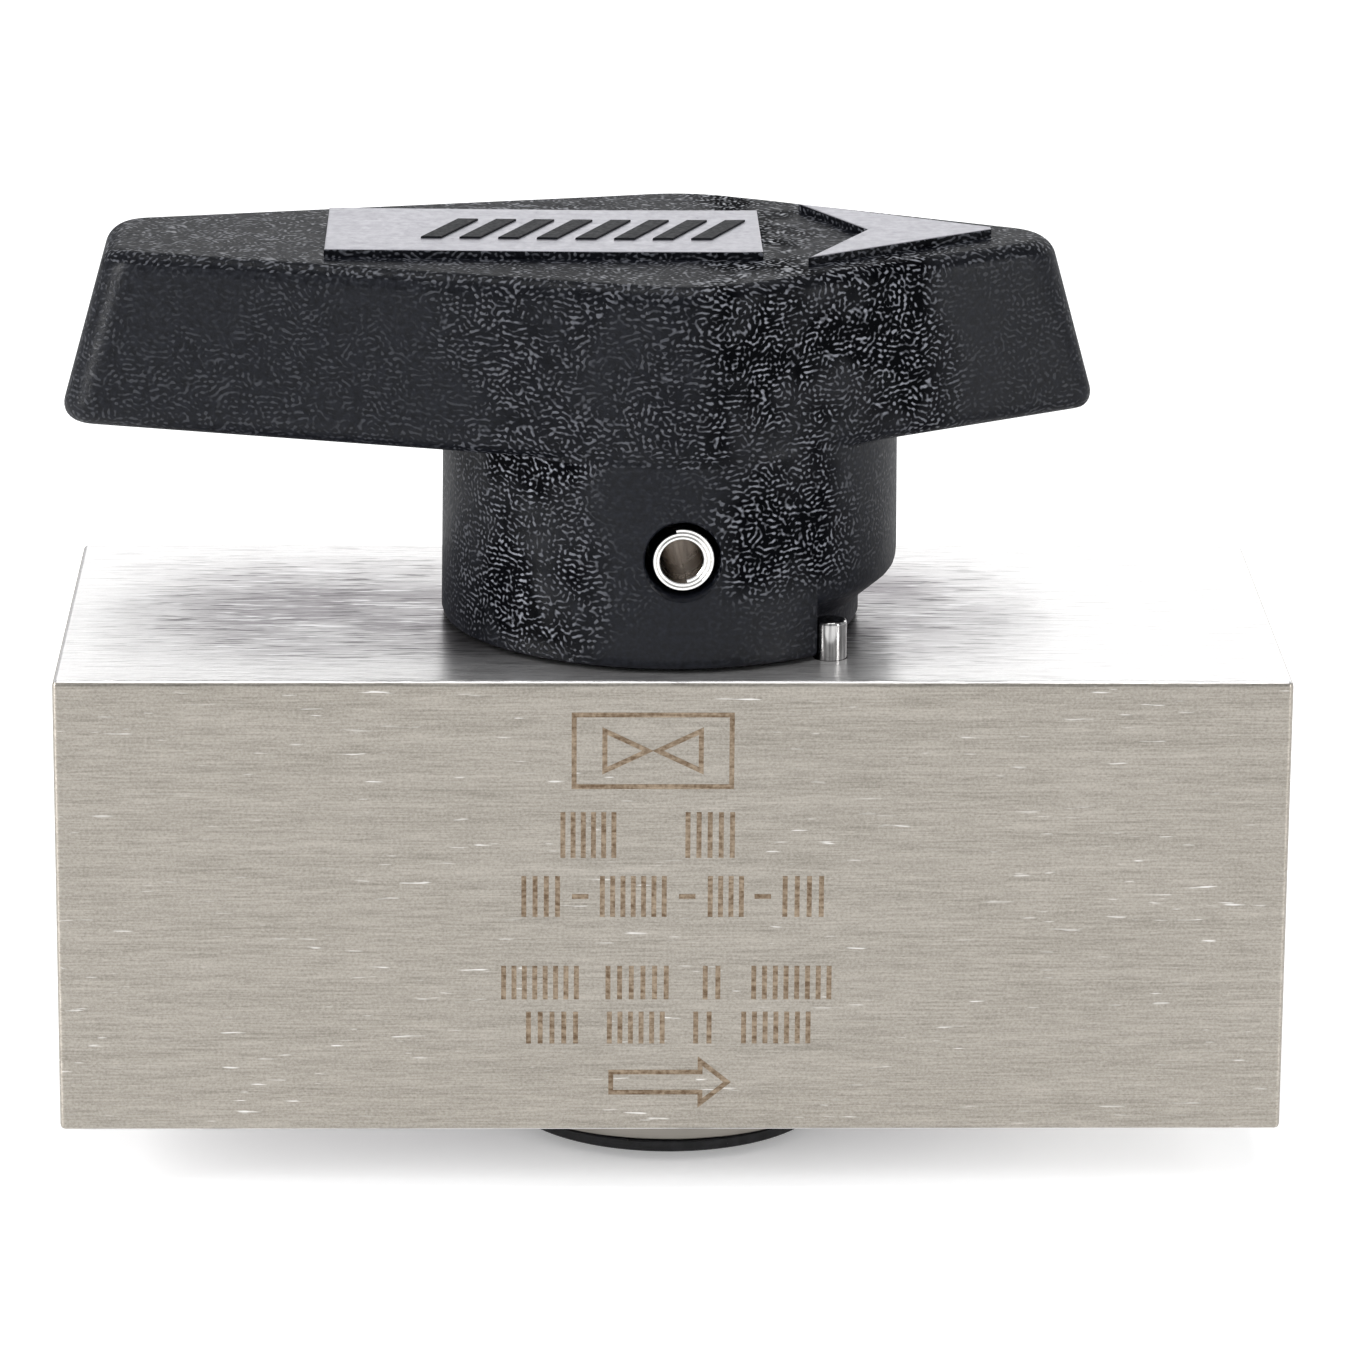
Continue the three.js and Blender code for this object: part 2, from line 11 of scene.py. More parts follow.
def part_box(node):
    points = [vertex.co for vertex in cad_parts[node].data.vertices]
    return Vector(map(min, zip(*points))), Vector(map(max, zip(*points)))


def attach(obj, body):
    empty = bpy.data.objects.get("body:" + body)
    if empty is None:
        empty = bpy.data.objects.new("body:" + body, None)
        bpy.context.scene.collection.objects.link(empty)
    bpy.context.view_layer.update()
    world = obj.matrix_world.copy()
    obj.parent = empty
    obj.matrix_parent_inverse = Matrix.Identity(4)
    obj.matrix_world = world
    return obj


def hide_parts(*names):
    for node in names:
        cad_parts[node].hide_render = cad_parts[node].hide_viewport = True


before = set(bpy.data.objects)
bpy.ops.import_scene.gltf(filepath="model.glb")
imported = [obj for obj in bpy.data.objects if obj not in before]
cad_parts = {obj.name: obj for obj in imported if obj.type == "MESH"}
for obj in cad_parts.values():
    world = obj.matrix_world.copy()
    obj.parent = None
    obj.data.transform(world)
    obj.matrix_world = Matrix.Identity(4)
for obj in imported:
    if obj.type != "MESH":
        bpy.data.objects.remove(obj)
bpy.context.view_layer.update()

MM = 0.001
METRES_TO_MM = 1000.0
ROOT = "body_assembly"
ROTOR = "rotor"

# ---- Sizes: heights come from the CAD boxes, radii repeat the CAD's driving dimensions ----


def cad_box(node):
    """Lowest and highest corner of a CAD node in millimetres."""
    low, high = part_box(node)
    return np.array(low) * METRES_TO_MM, np.array(high) * METRES_TO_MM


def cad_heights(node):
    """Lowest and highest point of a CAD node in millimetres."""
    low, high = cad_box(node)
    return low[2], high[2]


BODY_LOW, BODY_HIGH = cad_box("valve_body")
BODY_BOTTOM, BODY_TOP = cad_heights("valve_body")
FLOW_Z = (BODY_BOTTOM + BODY_TOP) / 2
END_X = BODY_HIGH[0]
FRONT_Y = BODY_LOW[1]
EDGE_ROUND = 0.35

BORE_R = 10.6
GLAND_R = 8.5
JOURNAL_BORE_R = 7.12
LEDGE_Z = 9.2
LIP_TOP_Z = 5.3

THREAD_PITCH = 25.4 / 14
THREAD_TURNS = 8
THREAD_START = math.radians(11)
THREAD_ROOT_R = 10.6
THREAD_CREST_R = 9.16
THREAD_TAPER = 1 / 32
PORT_MOUTH_R = 11.1
PORT_DEPTH = 16.5
PASSAGE_R = 4.65
DRILL_POINT = math.radians(59)

PLUG_R = 10.5
JOURNAL_R = 7.0
STEM_R = 6.35
SHOULDER_Z = 10.2
BARREL_TOP_Z = 29.6
STEM_TOP_Z = cad_heights("rotary_plug")[1]
SEAL_POCKET_INNER_R = 4.85
SEAL_POCKET_OUTER_R = 6.7
SEAL_POCKET_FLOOR = 5.65

HUB_R = 14.0
HUB_FOOT_R = 14.12
HUB_CORE_R = 12.6
HUB_BOTTOM, MARK_TOP = cad_heights("handle")
SOCKET_R = 6.45
SOCKET_TOP = STEM_TOP_Z + 0.4
ARM_BOTTOM = BODY_TOP + 12.65
ARM_TOP = BODY_TOP + 23.65
ARM_HEIGHT = ARM_TOP - ARM_BOTTOM
APEX_X, APEX_Y, APEX_R = 1.7, 14.7, 8.0
LONG_END_X, LONG_END_HALF_WIDTH, LONG_END_R = -34.45, 5.25, 2.6
SHORT_END_X, SHORT_END_HALF_WIDTH, SMALLEST_NOSE_R = 23.27, 2.05, 1.1
END_DRAFT = 0.275
SIDE_DRAFT = 0.035
UPPER_EDGE_R = 1.1
LOWER_EDGE_R = 1.5
RISE_START = 4.0
LONG_ARM_RISE, SHORT_ARM_RISE = 0.0075, 0.0145
ARM_WALL = 2.3
ARM_ROOF = 3.0

PIN_LOW, PIN_HIGH = cad_box("handle_pin")
PIN_Z = BODY_TOP + 6.85
PIN_R = 1.985
PIN_TURN = math.radians(2.2)
HUB_PIN_HOLE_R = 2.31
HUB_PIN_HOLE_Z = BODY_TOP + 6.97
STEM_PIN_HOLE_R = 2.075

STOP_PIN_BOTTOM, STOP_PIN_TOP = cad_heights("stop_pin")
STOP_PIN_R = 1.0
STOP_PIN_CENTRE_R = 14.15
STOP_PIN_ANGLE = math.radians(-47.3)
STOP_CLEARANCE = 0.05
RECESS_R = 11.75
RECESS_LIP_LOW, RECESS_LIP_HIGH = BODY_TOP + 1.75, BODY_TOP + 3.65
HUB_FOOT_TOP = BODY_TOP + 4.6

ROUND = 128
QUARTER = math.pi / 2


# ---- Mesh helpers ----


def make_mesh(name, vertices, faces, smooth_angle=32):
    """A new object from vertices in millimetres, smooth except at edges sharper than smooth_angle."""
    mesh = bpy.data.meshes.new(name)
    mesh.from_pydata((np.asarray(vertices, float) * MM).tolist(), [], faces)
    obj = bpy.data.objects.new(name, mesh)
    bpy.context.scene.collection.objects.link(obj)
    face_outwards(mesh)
    smooth(mesh, smooth_angle)
    return obj


def face_outwards(mesh):
    """Turns all faces of a closed mesh to face out."""
    work = bmesh.new()
    work.from_mesh(mesh)
    bmesh.ops.recalc_face_normals(work, faces=work.faces)
    if work.calc_volume(signed=True) < 0:
        bmesh.ops.reverse_faces(work, faces=work.faces)
    work.to_mesh(mesh)
    work.free()


def smooth(mesh, angle):
    mesh.shade_smooth()
    mesh.set_sharp_from_angle(angle=math.radians(angle))


def flatten_large_faces(obj):
    """Lets large flat faces keep their own normals next to small rounded edges."""
    weighted = obj.modifiers.new("weighted_normals", "WEIGHTED_NORMAL")
    weighted.mode = "FACE_AREA"
    weighted.keep_sharp = True


def boolean(obj, tools, operation="DIFFERENCE", smooth_angle=32):
    """Cuts obj with each tool, or keeps what they share, applies it and removes the tools."""
    for tool in tools:
        modifier = obj.modifiers.new("cut", "BOOLEAN")
        modifier.operation = operation
        modifier.solver = "EXACT"
        modifier.object = tool
    graph = bpy.context.evaluated_depsgraph_get()
    made = bpy.data.meshes.new_from_object(obj.evaluated_get(graph))
    obj.modifiers.clear()
    obj.data = made
    for tool in tools:
        bpy.data.objects.remove(tool)
    smooth(made, smooth_angle)
    return obj


def place(obj, turn=None, offset=(0, 0, 0)):
    """Turns an object's mesh about the origin, then shifts it by an offset in millimetres."""
    obj.data.transform(turn or Matrix.Identity(4))
    obj.data.transform(Matrix.Translation(Vector(offset) * MM))
    return obj


def lay_along(direction):
    """The turn that points a mesh made on the Z axis along +X, -X, +Y or -Y."""
    sign = 1 if direction[0] == "+" else -1
    if direction[1] == "X":
        return Matrix.Rotation(sign * QUARTER, 4, "Y")
    return Matrix.Rotation(-sign * QUARTER, 4, "X")


def polar(radius, angle):
    return radius * math.cos(angle), radius * math.sin(angle)


def rounded(points, radii, closed=False, steps=5):
    """A 2-D line with its corners rounded: radii holds one radius for each point."""
    points = [np.array(p, float) for p in points]
    made = []
    for i, (corner, radius) in enumerate(zip(points, radii)):
        at_end = not closed and i in (0, len(points) - 1)
        if at_end or radius <= 0:
            made.append(tuple(corner))
            continue
        before, after = points[i - 1] - corner, points[(i + 1) % len(points)] - corner
        before, after = before / np.linalg.norm(before), after / np.linalg.norm(after)
        half = math.acos(np.clip(before @ after, -1, 1)) / 2
        bisector = before + after
        centre = corner + bisector / np.linalg.norm(bisector) * radius / math.sin(half)
        start = corner + before * radius / math.tan(half) - centre
        turn = math.pi - 2 * half
        side = 1 if before[0] * after[1] - before[1] * after[0] < 0 else -1
        first = math.atan2(start[1], start[0])
        for k in range(steps + 1):
            x, y = polar(radius, first + side * turn * k / steps)
            made.append((centre[0] + x, centre[1] + y))
    return made


def evenly_spaced(line, count=None, spacing=None):
    """Points along a line: either count of them with both its ends, or at some spacing without its end."""
    line = np.array(line)
    lengths = np.concatenate([[0], np.cumsum(np.linalg.norm(np.diff(line, axis=0), axis=1))])
    steps = count or int(lengths[-1] / spacing)
    places = np.linspace(0, lengths[-1], steps, endpoint=bool(count))
    return np.stack([np.interp(places, lengths, line[:, k]) for k in (0, 1)], axis=1)


def revolve(name, profile, segments=ROUND, closed=False, lift=None):
    """A solid of revolution about Z from (radius, height) points. lift(angle) adds height round it."""
    vertices, rings = [], []
    for radius, height in profile:
        if radius < 1e-6:
            rings.append([len(vertices)] * segments)
            vertices.append((0, 0, height))
            continue
        rings.append(list(range(len(vertices), len(vertices) + segments)))
        for k in range(segments):
            angle = 2 * math.pi * k / segments
            raised = height + (lift(angle) if lift else 0)
            vertices.append((*polar(radius, angle), raised))
    if closed:
        rings.append(rings[0])
    faces = []
    for lower, upper in zip(rings, rings[1:]):
        for k in range(segments):
            n = (k + 1) % segments
            corners = [lower[k], lower[n], upper[n], upper[k]]
            faces.append(list(dict.fromkeys(corners)))
    return make_mesh(name, vertices, faces)


def rod(name, radius, bottom, top, segments=ROUND, edge=0.0, steps=2):
    profile = [(0, bottom), (radius, bottom), (radius, top), (0, top)]
    return revolve(name, rounded(profile, [0, edge, edge, 0], steps=steps), segments)


def ring(name, inner, outer, bottom, top, edge, lift=None):
    """A flat ring with rounded edges."""
    section = [(inner, bottom), (outer, bottom), (outer, top), (inner, top)]
    return revolve(name, rounded(section, [edge] * 4, closed=True, steps=3), closed=True, lift=lift)


def squeezed_ring(name, centre_r, half_width, centre_z, half_height):
    """An O-ring whose section is an ellipse."""
    steps = 28
    angles = [2 * math.pi * k / steps for k in range(steps)]
    section = [(centre_r + half_width * math.cos(a), centre_z + half_height * math.sin(a)) for a in angles]
    return revolve(name, section, closed=True)


def bridged(count, levels, closed=False):
    """Faces between closed loops of count vertices each, and from the last loop to the first if closed."""
    faces = []
    for level in range(levels if closed else levels - 1):
        lower, upper = level * count, (level + 1) % levels * count
        for k in range(count):
            n = (k + 1) % count
            faces.append([lower + k, lower + n, upper + n, upper + k])
    return faces


def prism(name, outline, bottom, top, edge=0.0):
    """A straight solid over a counter-clockwise outline; edge rounds its top rim a little."""
    levels = [(bottom, 0.0), (top, 0.0)]
    if edge:
        levels = [(bottom, 0.0), (top - edge, 0.0), (top - edge * 0.3, edge * 0.3), (top, edge)]
    count = len(outline)
    vertices = [(x, y, z) for z, inset in levels for x, y in inset_outline(outline, inset)]
    caps = [list(range(count))[::-1], list(range(len(vertices) - count, len(vertices)))]
    return make_mesh(name, vertices, caps + bridged(count, len(levels)), smooth_angle=20)


def band(name, outline, width, bottom, top):
    """A straight solid over a closed line of some width that follows a counter-clockwise outline."""
    vertices = []
    for side, z in ((-1, bottom), (1, bottom), (1, top), (-1, top)):
        vertices += [(x, y, z) for x, y in inset_outline(outline, side * width / 2)]
    return make_mesh(name, vertices, bridged(len(outline), 4, closed=True), smooth_angle=20)


def inset_outline(outline, inset):
    """A counter-clockwise outline moved inwards by inset along its corners' bisectors."""
    points = np.array(outline, float)
    before = points - np.roll(points, 1, axis=0)
    after = np.roll(points, -1, axis=0) - points
    before /= np.linalg.norm(before, axis=1)[:, None]
    after /= np.linalg.norm(after, axis=1)[:, None]
    normal_before = np.stack([-before[:, 1], before[:, 0]], axis=1)
    normal_after = np.stack([-after[:, 1], after[:, 0]], axis=1)
    bisector = normal_before + normal_after
    scale = inset * 2 / np.maximum((bisector**2).sum(axis=1), 0.3)
    return points + bisector * scale[:, None]


def rectangle(centre, half):
    (x, y), (w, h) = centre, half
    return [(x - w, y - h), (x + w, y - h), (x + w, y + h), (x - w, y + h)]


def curved_strip(name, levels, places):
    """A strip round the Z axis: levels holds (height, inset), places (angle, outer radius, inner radius)."""
    vertices = []
    for height, inset in levels:
        for angle, outer, inner in places:
            for radius in (outer - inset, inner + inset):
                vertices.append((*polar(radius, angle), height))
    row = 2 * len(places)
    last = (len(levels) - 1) * row
    faces = []
    for base in range(0, last, row):
        for a in range(base, base + row - 2, 2):
            faces.append([a, a + 2, a + 2 + row, a + row])
            faces.append([a + 3, a + 1, a + 1 + row, a + 3 + row])
        for a in (base, base + row - 2):
            faces.append([a, a + 1, a + 1 + row, a + row])
    for base in (0, last):
        for a in range(base, base + row - 2, 2):
            faces.append([a, a + 1, a + 3, a + 2])
    return make_mesh(name, vertices, faces)


def box(name, low, high):
    corners = [(x, y, z) for z in (low[2], high[2]) for y in (low[1], high[1]) for x in (low[0], high[0])]
    faces = [(0, 2, 3, 1), (4, 5, 7, 6), (0, 1, 5, 4), (2, 6, 7, 3), (0, 4, 6, 2), (1, 3, 7, 5)]
    return make_mesh(name, corners, faces)


# ---- Material helpers ----


class Surface:
    """A Principled material in the making: each method adds a node and returns what comes out of it."""

    def __init__(self, name, color, roughness, metallic=0.0, **sockets):
        """sockets are values for other Principled inputs."""
        self.material = bpy.data.materials.new(name)
        self.material.use_nodes = True
        self.tree = self.material.node_tree
        self.shader = self.tree.nodes["Principled BSDF"]
        values = {"Base Color": (*color, 1), "Roughness": roughness, "Metallic": metallic}
        for key, value in (values | sockets).items():
            self.shader.inputs[key.replace("_", " ")].default_value = value
        place_on_object = self.node("ShaderNodeTexCoord").outputs["Object"]
        self.mm = self.scaled(place_on_object, [METRES_TO_MM] * 3)

    def node(self, kind, inputs=None, **settings):
        """A shader node with its settings, and inputs given as values or as sockets to link."""
        made = self.tree.nodes.new(kind)
        for key, value in settings.items():
            setattr(made, key, value)
        for key, value in (inputs or {}).items():
            if isinstance(value, bpy.types.NodeSocket):
                self.tree.links.new(value, made.inputs[key])
            else:
                made.inputs[key].default_value = value
        return made

    def scaled(self, vector, scale):
        return self.node("ShaderNodeMapping", {"Vector": vector, "Scale": scale}).outputs[0]

    def noise(self, vector, scale, detail=2.0, roughness=0.5, distortion=0.0):
        """Noise with some number of waves per millimetre; three numbers draw it out along an axis."""
        if isinstance(scale, tuple):
            vector, scale = self.scaled(vector, scale), 1.0
        inputs = {"Vector": vector, "Scale": scale, "Detail": detail, "Roughness": roughness}
        return self.node("ShaderNodeTexNoise", inputs | {"Distortion": distortion}).outputs["Fac"]

    def split(self, vector):
        return self.node("ShaderNodeSeparateXYZ", {0: vector}).outputs

    def combine(self, x, y, z):
        return self.node("ShaderNodeCombineXYZ", {0: x, 1: y, 2: z}).outputs[0]

    def math(self, operation, first, second=0.0):
        return self.node("ShaderNodeMath", {0: first, 1: second}, operation=operation).outputs[0]

    def times(self, first, second):
        return self.math("MULTIPLY", first, second)

    def plus(self, first, second):
        return self.math("ADD", first, second)

    def more_than(self, value, limit):
        return self.math("GREATER_THAN", value, limit)

    def distance(self, value, centre):
        """How far a value is from a centre, to either side."""
        return self.math("ABSOLUTE", self.math("SUBTRACT", value, centre))

    def remap(self, value, low, high, to_low=0.0, to_high=1.0):
        inputs = {"Value": value, "From Min": low, "From Max": high, "To Min": to_low, "To Max": to_high}
        return self.node("ShaderNodeMapRange", inputs).outputs[0]

    def mix(self, factor, first, second):
        return self.node("ShaderNodeMix", {0: factor, 2: first, 3: second}, data_type="FLOAT").outputs[0]

    def mix_color(self, factor, *colors):
        first, second = [(*c, 1) if isinstance(c, tuple) else c for c in colors]
        return self.node("ShaderNodeMix", {0: factor, 6: first, 7: second}, data_type="RGBA").outputs[2]

    def bump(self, height, distance_mm, strength=1.0):
        inputs = {"Height": height, "Distance": distance_mm * MM, "Strength": strength}
        return self.node("ShaderNodeBump", inputs).outputs["Normal"]

    def link(self, socket, name):
        """Links what varies over the surface to a Principled input."""
        self.tree.links.new(socket, self.shader.inputs[name])

    def finish(self, color, roughness, normal):
        self.link(color, "Base Color")
        self.link(roughness, "Roughness")
        self.link(normal, "Normal")
        return self.material


def paint(obj, *materials):
    obj.data.materials.clear()
    for made in materials:
        obj.data.materials.append(made)
    return obj


# ---- Materials ----


def brushed_stainless():
    """Satin stainless, brushed along the block; the end faces are brushed across it. The sides are painted
    darker and the top lighter as painted shade and light, and the top carries a painted, streaky reflection
    of the dark handle with painted glints.
    """
    lengthwise = {"Anisotropic": 0.6, "Anisotropic_Rotation": 0.25}
    s = Surface("brushed_stainless", (0.45, 0.42, 0.38), 0.34, 1.0, **lengthwise)
    normal_x, _, normal_z = s.split(s.node("ShaderNodeNewGeometry").outputs["Normal"])
    on_end = s.more_than(s.distance(normal_x, 0.0), 0.7)
    on_top = s.more_than(s.distance(normal_z, 0.0), 0.7)
    x, y, z = s.split(s.mm)
    grain = s.combine(s.mix(on_end, x, y), s.mix(on_end, y, x), z)
    fine = s.noise(grain, (0.3, 8.0, 8.0), 3.0, 0.7)
    broad = s.noise(grain, (0.06, 1.2, 1.2), 3.0, 0.55)
    specks = s.noise(grain, (5.5, 7.0, 7.0), 2.0, 0.7)
    dashes = s.noise(grain, (0.45, 5.0, 5.0), 1.5, 0.5)
    cloud = s.noise(grain, (0.12, 0.22, 0.22), 3.0, 0.6)
    shade = s.plus(s.times(fine, 0.45), s.times(broad, 0.2))
    shade = s.plus(shade, s.times(specks, 0.35))
    scratches = s.times(s.remap(dashes, 0.7, 0.76), s.remap(cloud, 0.4, 0.6))
    # Painted shade: the front, back and end faces are painted a darker copy of the same steel as the top.
    sides = s.mix_color(s.remap(shade, 0.38, 0.62), (0.262, 0.241, 0.207), (0.51, 0.472, 0.42))
    sides = s.mix_color(scratches, sides, (0.85, 0.83, 0.8))
    streaks = s.noise(grain, (0.28, 3.4, 3.4), 3.0, 0.62)
    glints = s.noise(s.mm, (0.3, 3.6, 3.6), 2.0, 0.6)
    # Painted reflection of the dark handle on the top face: strongest around the hub, fading towards the
    # front and back edges and the ends, broken up by clouds.
    off_edges = s.remap(s.distance(y, 0.0), 5.0, 13.0, 1.0, 0.12)
    off_ends = s.remap(s.distance(x, -6.0), 20.0, 30.0, 1.0, 0.0)
    painted_handle_reflection = s.times(s.times(off_edges, off_ends), s.remap(cloud, 0.3, 0.6, 0.45, 1.0))
    # Painted light: the top and bottom faces are painted a lighter copy of the same steel as the sides.
    top = s.mix_color(s.remap(shade, 0.4, 0.6), (0.74, 0.73, 0.72), (0.88, 0.87, 0.86))
    top = s.mix_color(s.times(painted_handle_reflection, 0.95), top, (0.25, 0.228, 0.242))
    # Painted reflection: dark streaks where the handle's reflection breaks up on the top.
    dark = s.times(s.remap(streaks, 0.54, 0.62), s.remap(painted_handle_reflection, 0.0, 0.5, 0.12, 0.85))
    top = s.mix_color(dark, top, (0.07, 0.062, 0.066))
    # Painted highlights: bright glint streaks on the top, stronger inside the handle's reflection.
    light = s.times(s.remap(glints, 0.58, 0.66), s.remap(painted_handle_reflection, 0.0, 0.5, 0.5, 0.9))
    top = s.mix_color(light, top, (0.85, 0.84, 0.84))
    color = s.mix_color(on_top, sides, top)
    rough = s.remap(shade, 0.35, 0.65, 0.28, 0.42)
    ploughed = s.times(s.plus(streaks, glints), s.times(on_top, 4.0))
    s.link(s.combine(1.0, 0.002, 0.0), "Tangent")
    return s.finish(color, rough, s.bump(s.plus(shade, ploughed), 0.012, 0.8))


def turned_stainless(name="turned_stainless", color=(0.55, 0.53, 0.5), roughness=0.28):
    """Machined steel with fine rings from the tool, about the Z axis."""
    s = Surface(name, color, roughness, 1.0)
    x, y, z = s.split(s.mm)
    radius = s.math("SQRT", s.plus(s.times(x, x), s.times(y, y)))
    cut = s.noise(s.combine(radius, 0.0, z), 9.0, 2.0, 0.6)
    stain = s.noise(s.mm, 0.35, 3.0, 0.6)
    dark = tuple(c * 0.82 for c in color)
    light = tuple(min(1, c * 1.14) for c in color)
    color = s.mix_color(cut, dark, light)
    rough = s.remap(stain, 0.3, 0.7, roughness - 0.06, roughness + 0.08)
    return s.finish(color, rough, s.bump(cut, 0.01, 0.5))


def bright_steel(name, along, dark, light):
    """Polished pin steel with lines along one axis between a dark and a light colour: faint drawing lines
    when the two are close, painted reflection stripes when they are far apart.
    """
    s = Surface(name, light, 0.1, 1.0)
    lines = s.noise(s.mm, along, 3.0, 0.6)
    color = s.mix_color(s.remap(lines, 0.35, 0.65), dark, light)
    rough = s.remap(lines, 0.3, 0.7, 0.06, 0.15)
    return s.finish(color, rough, s.bump(lines, 0.006, 0.4))


def black_oxide():
    """Oiled black steel: near black, with rubbed, slightly brighter patches."""
    s = Surface("black_oxide", (0.02, 0.02, 0.023), 0.34, 0.1, Specular_IOR_Level=0.3)
    patches = s.noise(s.mm, 1.1, 4.0, 0.65)
    pits = s.noise(s.mm, 9.0, 2.0, 0.5)
    color = s.mix_color(s.remap(patches, 0.45, 0.75), (0.002, 0.002, 0.0025), (0.014, 0.014, 0.016))
    rough = s.remap(patches, 0.3, 0.7, 0.26, 0.46)
    return s.finish(color, rough, s.bump(pits, 0.012, 0.5))


def black_nylon():
    """Moulded black nylon. A wrinkled, leather-like grain stands out in patches beside the middle; there its
    raised tops are painted light grey as highlights and the nylon between them painted near black as shade.
    """
    s = Surface("black_nylon", (0.006, 0.0065, 0.009), 0.36, 0.0, Specular_IOR_Level=0.52)
    x, y, z = s.split(s.mm)
    waves = {"Vector": s.mm, "Scale": 1.1, "Frequency": 2.75, "Anisotropy": 0.0}
    wrinkles = s.node("ShaderNodeTexGabor", waves, gabor_type="3D")
    breaks = s.noise(s.mm, 1.7, 1.0, 0.5, 0.3)
    worms = s.remap(wrinkles.outputs["Value"], 0.52, 0.66)
    worms = s.times(worms, s.remap(breaks, 0.33, 0.42))
    pebbles = s.noise(s.mm, 3.0, 2.0, 0.6)
    # Where the grain stands out and where its painted highlights and shade go: bands right and left of the
    # apex on the arms and beside the pin on the hub, fading towards the hub's foot, placed where the lights
    # catch the grain.
    right_of_apex = s.remap(s.distance(x, 9.0), 6.0, 9.0, 1.0, 0.16)
    left_of_apex = s.remap(s.distance(x, -2.0), 8.0, 14.0, 0.5, 0.16)
    on_arm = s.math("MAXIMUM", right_of_apex, left_of_apex)
    beside_pin = s.distance(s.distance(x, -1.0), 7.5)
    smooth_below = s.remap(x, -5.0, -1.0, BODY_TOP, BODY_TOP + 4.0)
    above = s.remap(s.math("SUBTRACT", z, smooth_below), 0.0, 1.6, 0.12, 1.0)
    on_hub = s.times(s.remap(beside_pin, 2.5, 5.0, 1.0, 0.12), above)
    strength = s.mix(s.more_than(z, ARM_BOTTOM), on_hub, on_arm)
    patches = s.remap(s.noise(s.mm, 0.16, 2.0, 0.5), 0.38, 0.54, 0.25, 1.0)
    faces_up = s.more_than(z, ARM_TOP - 0.4)
    amount = s.math("MAXIMUM", s.times(strength, patches), s.times(faces_up, 0.4))
    standing = s.times(worms, amount)
    height = s.plus(standing, s.times(pebbles, 0.35))
    color = s.mix_color(s.remap(pebbles, 0.35, 0.7), (0.0028, 0.0034, 0.0056), (0.009, 0.0103, 0.0155))
    # Painted shade: where the grain stands out, the nylon is painted near black, as the shade between the
    # ridges.
    color = s.mix_color(amount, color, (0.0008, 0.001, 0.0018))
    # Painted highlights: the grain's raised tops are painted light bluish grey.
    color = s.mix_color(standing, color, (0.185, 0.193, 0.222))
    grain = s.bump(height, 0.08)
    gloss = s.mix(amount, 0.4, s.remap(worms, 0.0, 1.0, 0.04, 1.0))
    matte = s.node("ShaderNodeBsdfDiffuse", {"Color": color, "Roughness": 0.5, "Normal": grain})
    skin = s.node("ShaderNodeMixShader", {0: gloss, 1: matte.outputs[0], 2: s.shader.outputs[0]})
    s.tree.links.new(skin.outputs[0], s.tree.nodes["Material Output"].inputs["Surface"])
    return s.finish(color, s.remap(pebbles, 0.3, 0.7, 0.28, 0.46), grain)


def foil_silver():
    """Hot-stamped silver foil on the raised marks, with a faint lengthwise shimmer."""
    s = Surface("foil_silver", (0.29, 0.285, 0.31), 0.36, 0.75)
    shimmer = s.noise(s.mm, (0.12, 2.4, 1.0), 3.0, 0.6)
    wear = s.noise(s.mm, 2.2, 3.0, 0.7)
    color = s.mix_color(shimmer, (0.215, 0.21, 0.24), (0.36, 0.355, 0.385))
    color = s.mix_color(s.remap(wear, 0.68, 0.8), color, (0.12, 0.12, 0.13))
    rough = s.remap(wear, 0.3, 0.7, 0.3, 0.45)
    return s.finish(color, rough, s.bump(wear, 0.01, 0.35))


def etched_brown():
    """Laser-marked steel: an uneven brown film over the brushed metal."""
    s = Surface("etched_brown", (0.3, 0.2, 0.12), 0.5, 0.7)
    dots = s.noise(s.mm, (3.2, 3.2, 3.2), 3.0, 0.6)
    streaks = s.noise(s.mm, (0.4, 6.0, 6.0), 2.0, 0.5)
    uneven = s.plus(s.times(dots, 0.6), s.times(streaks, 0.4))
    color = s.mix_color(s.remap(uneven, 0.38, 0.62), (0.135, 0.088, 0.052), (0.36, 0.285, 0.205))
    rough = s.remap(uneven, 0.3, 0.7, 0.42, 0.58)
    return s.finish(color, rough, s.bump(uneven, 0.01, 0.5))


def moulded(name, dark, light, roughness, specular=0.5):
    """A plain moulded or machined polymer with a fine, uneven surface."""
    s = Surface(name, light, roughness, Specular_IOR_Level=specular)
    clouds = s.noise(s.mm, 0.6, 3.0, 0.6)
    grain = s.noise(s.mm, 4.0, 2.0, 0.5)
    color = s.mix_color(clouds, dark, light)
    rough = s.remap(grain, 0.3, 0.7, roughness - 0.08, roughness + 0.08)
    return s.finish(color, rough, s.bump(grain, 0.02, 0.5))


STAINLESS = brushed_stainless()
TURNED = turned_stainless()
BRIGHT = bright_steel("bright_steel", (5.0, 0.6, 5.0), (0.83, 0.82, 0.8), (0.93, 0.92, 0.9))
# Painted reflection: the stop pin's dark and light colours lie far apart, so its upright stripes are painted
# reflection bands.
STOP_STEEL = bright_steel("stop_pin_steel", (3.0, 3.0, 0.2), (0.1, 0.098, 0.1), (0.6, 0.59, 0.58))
